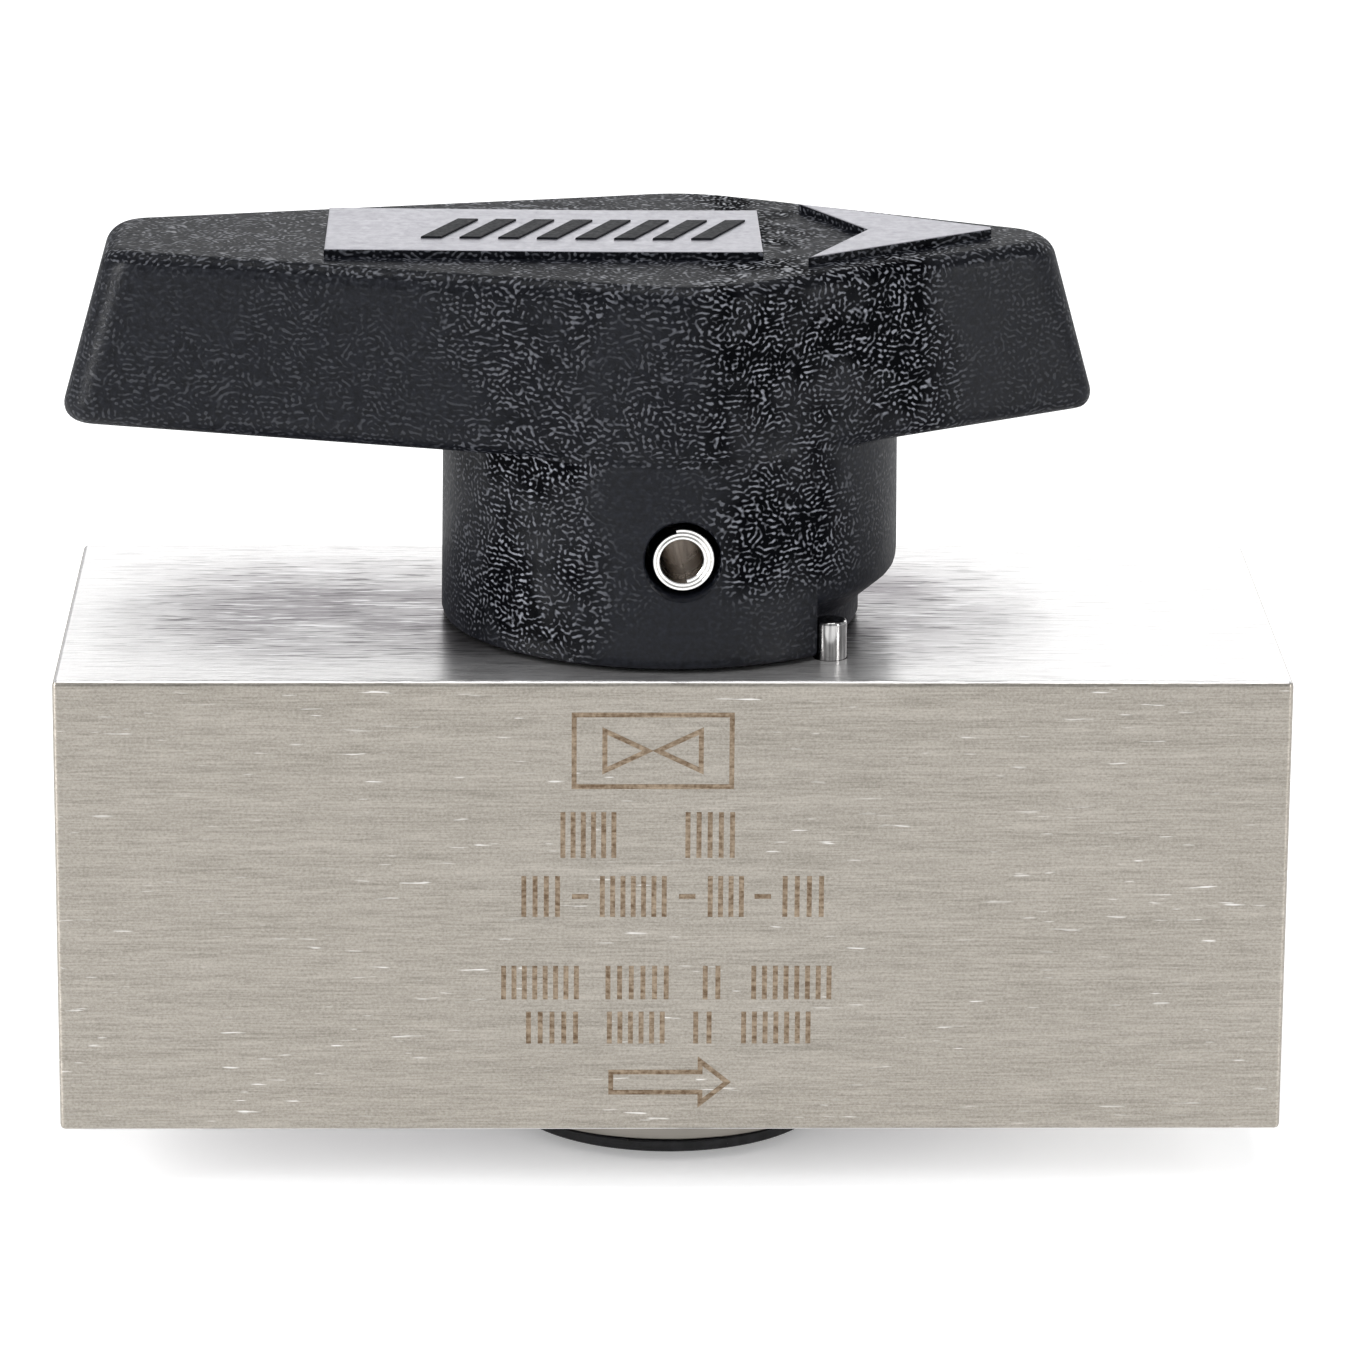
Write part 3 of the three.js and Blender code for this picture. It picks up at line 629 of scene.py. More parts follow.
# Painted shade: a darker, browner copy of the pin steel for the coil's deep inside.
SHADED_PIN_STEEL = turned_stainless("shaded_pin_steel", (0.36, 0.31, 0.26), 0.24)
WASHER = turned_stainless("washer_steel", (0.3, 0.28, 0.25), 0.4)
OXIDE = black_oxide()
NYLON = black_nylon()
FOIL = foil_silver()
ETCH = etched_brown()
BAR_NYLON = moulded("bar_nylon", (0.003, 0.0034, 0.005), (0.008, 0.009, 0.012), 0.6, specular=0.12)
PTFE = moulded("ptfe", (0.74, 0.73, 0.69), (0.86, 0.85, 0.82), 0.42)
PEEK = moulded("peek", (0.36, 0.27, 0.16), (0.46, 0.36, 0.23), 0.5)
RUBBER = moulded("seal_rubber", (0.016, 0.015, 0.015), (0.03, 0.028, 0.028), 0.62)


def finish_piece(obj, body, slot, *materials, nodes=()):
    """Materials, body and the CAD nodes that a finished piece stands for; the slot argument is not used."""
    paint(obj, *materials)
    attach(obj, body)
    if nodes:
        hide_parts(*nodes)
    return obj


# ---- Camera, floor and light ----

CAMERA_ELEVATION = math.radians(16.19)
CAMERA_YAW = math.radians(1.332)
CAMERA_ROLL = math.radians(0.404)
CAMERA_DISTANCE = 0.42592
CAMERA_LENS = 182.44
CAMERA_TARGET = Vector((0.000324, 0, 0.028287))
FLOOR_GLOW, FLOOR_HALF, FLOOR_DROP = 0.3, 6000, 0.02
LIGHTS_AIM = Vector((0, 0, 0.03))
WORLD_STRENGTH = 0.55


def add_camera():
    flat = math.cos(CAMERA_ELEVATION)
    forward = Vector((math.sin(CAMERA_YAW) * flat, math.cos(CAMERA_YAW) * flat, -math.sin(CAMERA_ELEVATION)))
    level = forward.cross(Vector((0, 0, 1))).normalized()
    upright = level.cross(forward)
    right = level * math.cos(CAMERA_ROLL) + upright * math.sin(CAMERA_ROLL)
    up = upright * math.cos(CAMERA_ROLL) - level * math.sin(CAMERA_ROLL)
    data = bpy.data.cameras.new("camera")
    data.lens = CAMERA_LENS
    data.sensor_width = 36
    data.clip_start = 0.01
    data.clip_end = 20
    camera = bpy.data.objects.new("camera", data)
    turn = Matrix((right, up, -forward)).transposed().to_4x4()
    camera.matrix_world = Matrix.Translation(CAMERA_TARGET - forward * CAMERA_DISTANCE) @ turn
    bpy.context.scene.collection.objects.link(camera)
    bpy.context.scene.camera = camera


def add_floor():
    """A pale floor that glows a little, so that shadows on it stay light."""
    glow = {"Emission_Color": (1, 1, 1, 1), "Emission_Strength": FLOOR_GLOW}
    s = Surface("studio_floor", (0.9, 0.9, 0.9), 0.6, **glow)
    s.link(s.mix_color(s.noise(s.mm, 0.02), (0.89, 0.89, 0.89), (0.91, 0.91, 0.91)), "Base Color")
    corners = [(x * MM, y * MM, 0) for x, y in rectangle((0, 0), (FLOOR_HALF, FLOOR_HALF))]
    mesh = bpy.data.meshes.new("studio_floor")
    mesh.from_pydata(corners, [], [(0, 1, 2, 3)])
    floor = bpy.data.objects.new("studio_floor", mesh)
    bpy.context.scene.collection.objects.link(floor)
    floor.location.z = -FLOOR_DROP * MM
    paint(floor, s.material)


def add_softbox(name, where, size, power):
    data = bpy.data.lights.new(name, "AREA")
    data.shape = "RECTANGLE"
    data.size, data.size_y = size
    data.energy = power
    light = bpy.data.objects.new(name, data)
    light.visible_camera = False
    light.location = where
    light.rotation_euler = (LIGHTS_AIM - Vector(where)).to_track_quat("-Z", "Y").to_euler()
    bpy.context.scene.collection.objects.link(light)


def add_studio():
    world = bpy.data.worlds.new("studio")
    world.use_nodes = True
    background = world.node_tree.nodes["Background"]
    background.inputs["Color"].default_value = (0.97, 0.98, 1.0, 1)
    background.inputs["Strength"].default_value = WORLD_STRENGTH
    bpy.context.scene.world = world
    add_softbox("strip_left", (-0.55, -0.2, 0.22), (0.12, 0.4), 2.6)
    add_softbox("strip_right", (0.5, -0.36, 0.22), (0.12, 0.4), 1.15)
    add_softbox("top", (0.0, 0.05, 0.9), (0.5, 0.5), 3.0)
    add_softbox("back", (0.2, 0.7, 0.26), (0.9, 0.3), 1.3)
    bpy.context.scene.view_settings.view_transform = "Standard"


add_camera()
add_floor()
add_studio()


# ---- Valve body ----


def rounded_block():
    block = box("valve_body_block", BODY_LOW, BODY_HIGH)
    work = bmesh.new()
    work.from_mesh(block.data)
    edges = list(work.edges)
    bmesh.ops.bevel(work, geom=edges, offset=EDGE_ROUND * MM, segments=3, profile=0.5, affect="EDGES")
    work.to_mesh(block.data)
    work.free()
    smooth(block.data, 30)
    return block


def plain_port():
    """The port without its thread: mouth at height 0, going down."""
    countersink = PORT_MOUTH_R - THREAD_CREST_R
    plain_r = THREAD_CREST_R - PORT_DEPTH * THREAD_TAPER
    point = (plain_r - PASSAGE_R) / math.tan(DRILL_POINT)
    end = -(END_X - BORE_R / 2)
    profile = [
        (0, end),
        (PASSAGE_R, end),
        (PASSAGE_R, -PORT_DEPTH - point),
        (plain_r, -PORT_DEPTH),
        (THREAD_CREST_R - countersink * THREAD_TAPER, -countersink),
        (PORT_MOUTH_R, 0),
        (PORT_MOUTH_R + 1, 1),
        (0, 1),
    ]
    return revolve("plain_port", profile)


def thread_tool():
    """The helical V of a tapered pipe thread as one closed strip that winds down from above the mouth."""
    steps = 72
    turns = THREAD_TURNS + 1
    flat = 0.08
    depth_of_v = THREAD_ROOT_R - THREAD_CREST_R
    profile = [(0.0, 0.0), (0.5 - flat / 2, 1.0), (0.5 + flat / 2, 1.0), (1 - flat, 0.0)]
    total = steps * turns
    vertices = []
    for m in range(total + 1):
        for part, cut in profile:
            depth = THREAD_PITCH * (m / steps + part - 1)
            crest = THREAD_CREST_R - 0.02 - depth * THREAD_TAPER
            fade = min(1.0, (total - m) / steps)
            radius = crest + depth_of_v * cut * fade
            angle = -2 * math.pi * m / steps
            vertices.append((*polar(radius, angle), -depth))
    width = len(profile)

    def corner(m, k):
        return m * width + k if k < width else (m + steps) * width

    faces = []
    for m in range(total):
        for k in range(width):
            if k == width - 1 and m + 1 + steps > total:
                continue
            faces.append([corner(m, k), corner(m + 1, k), corner(m + 1, k + 1), corner(m, k + 1)])
    start = [corner(m, 0) for m in range(steps, -1, -1)] + [corner(0, k) for k in range(1, width)]
    last = total - steps
    end = [corner(m, width - 1) for m in range(last, total + 1)]
    end += [corner(total, k) for k in range(width - 2, -1, -1)]
    for loop, height in ((start, 2 * THREAD_PITCH), (end, -THREAD_PITCH * (turns - 1))):
        pole = len(vertices)
        vertices.append((0, 0, height))
        for a, b in zip(loop, loop[1:] + loop[:1]):
            faces.append([a, b, pole])
    return make_mesh("thread_tool", vertices, faces)


def threaded_port():
    """One port as a cutting tool; turned a little, so that no facet lines up with the block's."""
    port = boolean(plain_port(), [thread_tool()], "UNION")
    return place(port, Matrix.Rotation(THREAD_START, 4, "Z"))


def stepped_bore():
    chamfer = 0.4
    profile = [
        (0, BODY_BOTTOM - 1),
        (JOURNAL_BORE_R + chamfer + 1, BODY_BOTTOM - 1),
        (JOURNAL_BORE_R + chamfer, BODY_BOTTOM),
        (JOURNAL_BORE_R, BODY_BOTTOM + chamfer),
        (JOURNAL_BORE_R, LIP_TOP_Z),
        (GLAND_R, LIP_TOP_Z),
        (GLAND_R, LEDGE_Z),
        (BORE_R, LEDGE_Z),
        (BORE_R, BODY_TOP - chamfer),
        (BORE_R + chamfer, BODY_TOP),
        (BORE_R + chamfer + 1, BODY_TOP + 1),
        (0, BODY_TOP + 1),
    ]
    return revolve("stepped_bore", profile)


def at_stop_pin(obj):
    return place(obj, offset=(*polar(STOP_PIN_CENTRE_R, STOP_PIN_ANGLE), 0))


def build_body():
    tools = [stepped_bore()]
    for direction, x in (("+X", END_X), ("-X", -END_X)):
        tools.append(place(threaded_port(), lay_along(direction), (x, 0, FLOW_Z)))
    tools.append(at_stop_pin(rod("pin_hole", STOP_PIN_R + 0.06, STOP_PIN_BOTTOM - 0.2, BODY_TOP + 1, 48)))
    body = boolean(rounded_block(), tools)
    body.name = "valve_body_block"
    flatten_large_faces(body)
    finish_piece(body, ROOT, "brushed_stainless", STAINLESS, nodes=["valve_body"])


# ---- Handle ----


def arm_outline(depth, inset=0.0, spacing=0.1):
    """The lever's outline at a depth below its top, as close points going counter-clockwise."""
    side_shift = SIDE_DRAFT * depth - inset
    long_angle = math.atan((APEX_Y - LONG_END_HALF_WIDTH) / (APEX_X - LONG_END_X))
    short_angle = math.atan((APEX_Y - SHORT_END_HALF_WIDTH) / (SHORT_END_X - APEX_X))

    def long_side(x):
        return APEX_Y + math.tan(long_angle) * (x - APEX_X) + side_shift / math.cos(long_angle)

    def short_side(x):
        return APEX_Y - math.tan(short_angle) * (x - APEX_X) + side_shift / math.cos(short_angle)

    apex_shift = short_side(APEX_X) - long_side(APEX_X)
    apex_x = APEX_X + apex_shift / (math.tan(long_angle) + math.tan(short_angle))
    long_x = LONG_END_X - END_DRAFT * depth + inset
    nose_x = APEX_X + short_side(APEX_X) / math.tan(short_angle)
    full_nose_x = nose_x + inset / math.sin(short_angle)
    tip_x = SHORT_END_X + END_DRAFT * depth
    nose_r = max((full_nose_x - tip_x) / (1 / math.sin(short_angle) - 1), SMALLEST_NOSE_R)
    corners = [
        ((long_x, -long_side(long_x)), LONG_END_R),
        ((apex_x, -long_side(apex_x)), APEX_R),
        ((nose_x, 0), nose_r),
        ((apex_x, long_side(apex_x)), APEX_R),
        ((long_x, long_side(long_x)), LONG_END_R),
    ]
    radii = [max(radius - inset, 0.05) for _, radius in corners]
    line = rounded([point for point, _ in corners], radii, closed=True, steps=24)
    return evenly_spaced(line + line[:1], spacing=spacing)


def arm_radius(angles, depth, inset=0.0):
    """Distance from the stem axis to the lever's outline, in each direction."""
    outline = arm_outline(depth, inset)
    directions = np.arctan2(outline[:, 1], outline[:, 0])
    order = np.argsort(directions)
    distances = np.linalg.norm(outline, axis=1)
    return np.interp(angles, directions[order], distances[order], period=2 * math.pi)


def soft_max(a, b, width):
    overlap = np.maximum(width - np.abs(a - b), 0) / width
    return np.maximum(a, b) + overlap**2 * width / 4


def soft_step(value, low, high):
    t = np.clip((value - low) / (high - low), 0, 1)
    return t * t * (3 - 2 * t)


def handle_directions():
    """Directions round the stem axis, close together where the arm ends are, with both stop shoulders."""
    outline = arm_outline(ARM_HEIGHT / 2, spacing=0.2)
    angles = list(np.arctan2(outline[:, 1], outline[:, 0]))
    shoulder = math.asin((STOP_PIN_R + STOP_CLEARANCE) / STOP_PIN_CENTRE_R)
    recess_start = STOP_PIN_ANGLE - shoulder
    recess_end = recess_start + QUARTER + 2 * shoulder
    step = 0.0004
    edges = [recess_start - step, recess_start + step, recess_end - step, recess_end + step]
    keep = [a for a in angles if min(abs(a - e) for e in edges) > 0.004]
    return np.array(sorted(keep + edges)), recess_start, recess_end


def hub_radius(height):
    """The hub widens a little towards its foot."""
    share = (ARM_BOTTOM - height) / (ARM_BOTTOM - HUB_BOTTOM)
    return HUB_R + (HUB_FOOT_R - HUB_R) * share


def hub_foot(in_recess):
    """The hub's lowest stretch as (radius, height) points, plain or with the stop recess."""
    steps = 22
    top = HUB_FOOT_TOP
    if in_recess:
        slope = [
            (RECESS_R, RECESS_LIP_LOW - 0.6),
            (RECESS_R, RECESS_LIP_LOW),
            (HUB_R, RECESS_LIP_HIGH),
            (hub_radius(top), top - 0.05),
        ]
        lip = rounded(slope, [0, 0.5, 0.9, 0], steps=6)
        corner = rounded([(RECESS_R - 1, HUB_BOTTOM), (RECESS_R, HUB_BOTTOM), lip[0]], [0, 0.2, 0], steps=4)
        line = corner[:-1] + lip + [(hub_radius(top), top)]
    else:
        foot = [(RECESS_R - 1, HUB_BOTTOM), (HUB_FOOT_R, HUB_BOTTOM), (hub_radius(top), top)]
        line = rounded(foot, [0, 0.3, 0], steps=8)
    return evenly_spaced(line, count=steps)


def handle_levels(angles, in_recess):
    """Every level of the handle's skin from the socket roof round to the top, as (radii, heights)."""
    count = len(angles)
    levels = []

    def level(radius, height):
        levels.append((np.full(count, 1.0) * radius, np.full(count, 1.0) * height))

    for radius, height in (
        (SOCKET_R * 0.5, SOCKET_TOP),
        (SOCKET_R - 0.4, SOCKET_TOP),
        (SOCKET_R, SOCKET_TOP - 0.4),
        (SOCKET_R, (SOCKET_TOP + HUB_BOTTOM) / 2),
        (SOCKET_R, HUB_BOTTOM + 0.5),
        (SOCKET_R + 0.5, HUB_BOTTOM),
        (8.5, HUB_BOTTOM),
    ):
        level(radius, height)

    for plain, cut in zip(hub_foot(False), hub_foot(True)):
        level(np.where(in_recess, cut[0], plain[0]), np.where(in_recess, cut[1], plain[1]))

    fillet, lower_edge, upper_edge = 0.4, LOWER_EDGE_R, UPPER_EDGE_R
    for height in np.linspace(HUB_FOOT_TOP + 0.5, ARM_BOTTOM - fillet - 0.3, 6):
        level(hub_radius(height), height)

    inner_bottom = arm_radius(angles, ARM_HEIGHT, lower_edge)
    gap = np.clip(inner_bottom - HUB_R, 0, None)
    reach = np.minimum(fillet, gap / 2)
    for a in np.linspace(0, QUARTER, 6):
        level(HUB_R + reach * (1 - math.cos(a)), ARM_BOTTOM - fillet * (1 - math.sin(a)))
    for share in (0.08, 0.5, 0.92):
        level(HUB_R + reach + (gap - reach) * share, ARM_BOTTOM + 0.02 * share)

    def wall(height, inset):
        radius = arm_radius(angles, ARM_TOP - height, inset)
        hub = HUB_R - (HUB_R - HUB_CORE_R) * soft_step(height, ARM_BOTTOM + 0.1, ARM_BOTTOM + 3.2)
        level(soft_max(radius, hub, 0.3), height)

    for a in np.linspace(0.12, QUARTER, 9):
        wall(ARM_BOTTOM + 0.04 + (lower_edge - 0.04) * (1 - math.cos(a)), lower_edge * (1 - math.sin(a)))
    for height in np.linspace(ARM_BOTTOM + lower_edge + 0.3, ARM_TOP - upper_edge - 0.3, 9):
        wall(height, 0.0)
    for a in np.linspace(0, QUARTER, 11):
        wall(ARM_TOP - upper_edge * (1 - math.sin(a)), upper_edge * (1 - math.cos(a)))
    wall(ARM_TOP, upper_edge + 0.3)
    rim = levels[-1][0]
    for share in (0.75, 0.5, 0.25):
        level(rim * share, ARM_TOP)
    return levels


def handle_skin():
    angles, recess_start, recess_end = handle_directions()
    in_recess = (angles > recess_start) & (angles < recess_end)
    levels = handle_levels(angles, in_recess)
    count = len(angles)
    rings = [np.stack([r * np.cos(angles), r * np.sin(angles), z], axis=1) for r, z in levels]
    vertices = np.vstack(rings + [[(0, 0, SOCKET_TOP)], [(0, 0, ARM_TOP)]])
    faces = bridged(count, len(levels))
    first_pole = len(levels) * count
    top = first_pole - count
    for k in range(count):
        n = (k + 1) % count
        faces.append([n, k, first_pole])
        faces.append([top + k, top + n, first_pole + 1])
    return make_mesh("handle_lever", vertices, faces)


def across_stem(obj, height):
    """Turns a mesh made on the Z axis to lie along the handle pin, at some height."""
    place(obj, lay_along("+Y"), (0, 0, height))
    return place(obj, Matrix.Rotation(PIN_TURN, 4, "Z"))


def cross_hole():
    """The pin hole through the hub, with a small rounded mouth at each side."""
    half = HUB_R - 0.35
    far = HUB_R + 3
    mouth = 0.3
    side = [(HUB_PIN_HOLE_R, half), (HUB_PIN_HOLE_R + mouth, half + mouth + 0.2), (HUB_PIN_HOLE_R + 3, far)]
    profile = [(0, -far)] + [(r, -z) for r, z in reversed(side)] + side + [(0, far)]
    return across_stem(revolve("cross_hole", profile, 96), HUB_PIN_HOLE_Z)


def pocket_core():
    """The moulding pockets under both arms, each side of a middle rib, as one tool."""
    outlines = [arm_outline(ARM_HEIGHT, ARM_WALL, 0.8), arm_outline(ARM_ROOF, ARM_WALL, 0.8)]
    count = min(len(outline) for outline in outlines)
    picks = [np.linspace(0, len(outline), count, endpoint=False).astype(int) for outline in outlines]
    vertices = []
    for outline, pick, z in zip(outlines, picks, (ARM_BOTTOM - 1, ARM_TOP - ARM_ROOF)):
        vertices += [(x, y, z) for x, y in outline[pick]]
    caps = [list(range(count))[::-1], list(range(count, 2 * count))]
    core = make_mesh("pocket_core", vertices, caps + bridged(count, 2))
    near, far, rib = HUB_R + ARM_WALL, END_X, 1.0
    zones = []
    for x_low, x_high in ((-far, -near), (near, far)):
        for y_low, y_high in ((rib, HUB_R), (-HUB_R, -rib)):
            zones.append(box("pocket_zone", (x_low, y_low, BODY_TOP), (x_high, y_high, ARM_TOP + 1)))
    return boolean(core, [join(zones)], "INTERSECT")


def join(objects):
    """One object that holds the meshes of several."""
    work = bmesh.new()
    for obj in objects:
        work.from_mesh(obj.data)
    name = objects[0].name
    mesh = bpy.data.meshes.new(name)
    work.to_mesh(mesh)
    work.free()
    for obj in objects:
        bpy.data.objects.remove(obj)
    made = bpy.data.objects.new(name, mesh)
    bpy.context.scene.collection.objects.link(made)
    return made


def raise_ends(obj):
    """Lifts what is on the arms a little towards their ends, as the moulding does when it cools."""
    for vertex in obj.data.vertices:
        reach = max(abs(vertex.co.x) * METRES_TO_MM - RISE_START, 0)
        rise = LONG_ARM_RISE if vertex.co.x < 0 else SHORT_ARM_RISE
        vertex.co.z += rise * reach * MM * soft_step(vertex.co.z * METRES_TO_MM, PIN_Z, ARM_BOTTOM)
    return obj


def build_handle():
    lever = boolean(raise_ends(handle_skin()), [cross_hole(), pocket_core()], smooth_angle=38)
    flatten_large_faces(lever)
    finish_piece(lever, ROTOR, "black_nylon", NYLON, nodes=["handle"])


PLATE_CENTRE, PLATE_HALF = (-7.825, 0), (13.275, 5.9)
ARROW = [(8.1, -7.6), (19.6, -0.35), (19.6, 0.35), (8.1, 7.6), (12.0, 0.0)]


def split_long(obj):
    """Cuts a mesh across X every few millimetres, so that it can follow the arm."""
    work = bmesh.new()
    work.from_mesh(obj.data)
    for x in range(-20, 21, 4):
        geometry = work.verts[:] + work.edges[:] + work.faces[:]
        bmesh.ops.bisect_plane(work, geom=geometry, plane_co=(x * MM, 0, 0), plane_no=(1, 0, 0))
    work.to_mesh(obj.data)
    work.free()
    return obj


def build_raised_marks():
    """The raised plate with plain slanted bars on it, and the raised direction arrow."""
    for name, outline in (("handle_plate", rectangle(PLATE_CENTRE, PLATE_HALF)), ("handle_arrow", ARROW)):
        mark = raise_ends(split_long(prism(name, outline, ARM_TOP - 0.2, MARK_TOP, edge=0.1)))
        finish_piece(mark, ROTOR, "foil_silver", FOIL, NYLON)
        for polygon in mark.data.polygons:
            polygon.material_index = 0 if polygon.normal.z > 0.9 else 1
    bars = []
    count, first, pitch, width, slant, half = 8, -14.2, 2.35, 1.25, 1.1, 2.6
    for k in range(count):
        x = first + k * pitch
        low, high = x - slant, x + slant
        outline = [(low, -half), (low + width, -half), (high + width, half), (high, half)]
        bars.append(prism("plate_bar", outline, MARK_TOP - 0.1, MARK_TOP + 0.12, edge=0.05))
    bar_row = join(bars)
    bar_row.name = "plate_bars"
    raise_ends(bar_row)
    smooth(bar_row.data, 20)
    finish_piece(bar_row, ROTOR, "black_nylon", BAR_NYLON)


# ---- Pins, rings and washers ----


def build_handle_pin():
    """A coiled spring pin: a strip wound two and a half turns, painted a darker, browner steel deep inside
    as the coil's shade, and bright at its ends.
    """
    sheet, pitch, turns, steps, edge = 0.215, 0.228, 2.5, 80, 0.05
    total = int(turns * steps)
    half_length = (PIN_HIGH[1] - PIN_LOW[1]) / 2
    start_angle = math.radians(78)
    levels = [(-half_length, edge), (-half_length + edge, 0), (half_length - edge, 0), (half_length, edge)]
    places = []
    for k in range(total + 1):
        outer = PIN_R - pitch * (total - k) / steps
        places.append((start_angle - 2 * math.pi * k / steps, outer, outer - sheet))
    pin = across_stem(curved_strip("coiled_pin", levels, places), PIN_Z)
    finish_piece(pin, ROTOR, "bright_steel", BRIGHT, SHADED_PIN_STEEL, nodes=["handle_pin"])
    # Deep inner faces of the coil take the painted shade steel; the outside and the ends stay bright.
    for polygon in pin.data.polygons:
        deep = abs(polygon.center.y) < (half_length - 0.2) * MM
        radius = math.hypot(polygon.center.x, polygon.center.z - PIN_Z * MM)
        polygon.material_index = 1 if deep and radius < (PIN_R - sheet * 0.9) * MM else 0


def build_stop_pin():
    dowel = rod("stop_pin_dowel", STOP_PIN_R, STOP_PIN_BOTTOM, STOP_PIN_TOP, 64, edge=0.22, steps=5)
    pin = at_stop_pin(dowel)
    flatten_large_faces(pin)
    finish_piece(pin, ROOT, "bright_steel", STOP_STEEL, nodes=["stop_pin"])


def build_retaining_ring():
    """External ring, widest opposite its gap, with two drilled lugs beside the gap."""
    bottom, top = cad_heights("retaining_ring")
    inner_r, widest_r, narrowing, lug_r, half_gap = 6.6, 11.0, 2.4, 1.35, math.radians(16)
    steps, edge = 180, 0.08
    angles = np.linspace(half_gap, 2 * math.pi - half_gap, steps)
    outer_r = widest_r - narrowing * (1 + np.cos(angles)) / 2
    levels = [(bottom, edge), (bottom + edge, 0), (top - edge, 0), (top, edge)]
    places = [(angle, outer, inner_r) for angle, outer in zip(angles, outer_r)]
    clip = curved_strip("retaining_clip", levels, places)
    lugs, holes = [], []
    for side in (-1, 1):
        angle = side * (half_gap + lug_r / (inner_r + lug_r))
        centre = (*polar(inner_r + lug_r, angle), 0)
        lugs.append(place(rod("lug", lug_r, bottom, top, 48, edge), offset=centre))
        holes.append(place(rod("lug_hole", lug_r / 2, bottom - 1, top + 1, 32), offset=centre))
    boolean(clip, lugs, "UNION")
    boolean(clip, holes)
    place(clip, Matrix.Rotation(QUARTER, 4, "Z"))
    flatten_large_faces(clip)
    finish_piece(clip, ROTOR, "black_oxide", OXIDE, nodes=["retaining_ring"])


def build_washers_and_seals():
    """The flat rings, the wave spring and the O-rings, each where its CAD solid is."""
    # Name, inner and outer radius, body, slot, material, edge radius
    flat_rings = (
        ("bottom_thrust_washer", 7.15, 10.9, ROTOR, "turned_stainless", WASHER, 0.12),
        ("lower_journal_bushing", 7.1, 8.4, ROOT, "peek", PEEK, 0.12),
        ("lower_backup_ring", 7.1, 8.4, ROOT, "ptfe", PTFE, 0.08),
        ("plug_thrust_washer", 7.2, 10.4, ROOT, "peek", PEEK, 0.1),
        ("upper_backup_ring", 9.07, 10.45, ROTOR, "ptfe", PTFE, 0.08),
    )
    for name, inner, outer, body, slot, made, edge in flat_rings:
        piece = ring(name + "_ring", inner, outer, *cad_heights(name), edge)
        flatten_large_faces(piece)
        finish_piece(piece, body, slot, made, nodes=[name])

    # Name, radius of the section's centre, half the section's width, body
    o_rings = (
        ("lower_stem_o_ring", 7.75, 0.66, ROOT),
        ("upper_stem_o_ring", 9.78, 0.69, ROTOR),
        ("stem_dust_seal", 7.25, 0.75, ROOT),
    )
    for name, centre_r, half_width, body in o_rings:
        low, high = cad_heights(name)
        piece = squeezed_ring(name + "_torus", centre_r, half_width, (low + high) / 2, (high - low) / 2)
        finish_piece(piece, body, "seal_rubber", RUBBER, nodes=[name])

    waves, amplitude, half_thickness = 3, 0.45, 0.15
    middle = sum(cad_heights("wave_spring_washer")) / 2
    bottom, top = middle - half_thickness, middle + half_thickness
    spring = ring("wave_spring", 7.2, 8.7, bottom, top, 0.05, lambda a: amplitude * math.cos(waves * a))
    finish_piece(spring, ROOT, "turned_stainless", TURNED, nodes=["wave_spring_washer"])

    low, high = cad_heights("upper_stem_bushing")
    inner, outer, seat_r, seat_z = STEM_R + 0.1, BORE_R - 0.1, 8.15, BARREL_TOP_Z + 1.2
    section = [(inner, low), (outer, low), (outer, high), (seat_r, high), (seat_r, seat_z), (inner, seat_z)]
    bushing = revolve("upper_bushing", rounded(section, [0.1] * 6, closed=True, steps=3), closed=True)
    flatten_large_faces(bushing)
    finish_piece(bushing, ROOT, "peek", PEEK, nodes=["upper_stem_bushing"])


def build_port_seals():
    """Saddle-faced PTFE rings on the plug's blank sides, with an O-ring behind each."""
    inner, outer, back, face_r, edge, count = 4.95, 6.6, 7.35, PLUG_R - 0.05, 0.08, 128
    section = (
        (inner + edge, False, 0.0),
        (outer - edge, False, 0.0),
        (outer, False, edge),
        (outer, True, edge),
        (outer - edge, True, 0.0),
        (inner + edge, True, 0.0),
        (inner, True, edge),
        (inner, False, edge),
    )
    for side, name in (("+Y", "outlet"), ("-Y", "inlet")):
        sign = 1 if side == "+Y" else -1
        vertices = []
        for k in range(count):
            angle = 2 * math.pi * k / count
            for radius, on_face, drop in section:
                x, z = polar(radius, angle)
                y = math.sqrt(face_r**2 - x**2) - drop if on_face else back + drop
                vertices.append((x, sign * y, FLOW_Z + z))
        seal = make_mesh(name + "_seal_ring", vertices, bridged(len(section), count, closed=True))
        finish_piece(seal, ROTOR, "ptfe", PTFE, nodes=[name + "_port_seal"])

        centre_r = (SEAL_POCKET_INNER_R + SEAL_POCKET_OUTER_R) / 2
        half_width = (SEAL_POCKET_OUTER_R - SEAL_POCKET_INNER_R) / 2 - 0.12
        centre, half_height = (SEAL_POCKET_FLOOR + back) / 2, (back - SEAL_POCKET_FLOOR) / 2 - 0.05
        energizer = squeezed_ring(name + "_energizer_torus", centre_r, half_width, centre, half_height)
        place(energizer, lay_along(side), (0, 0, FLOW_Z))
        finish_piece(energizer, ROTOR, "seal_rubber", RUBBER, nodes=[name + "_seal_energizer"])


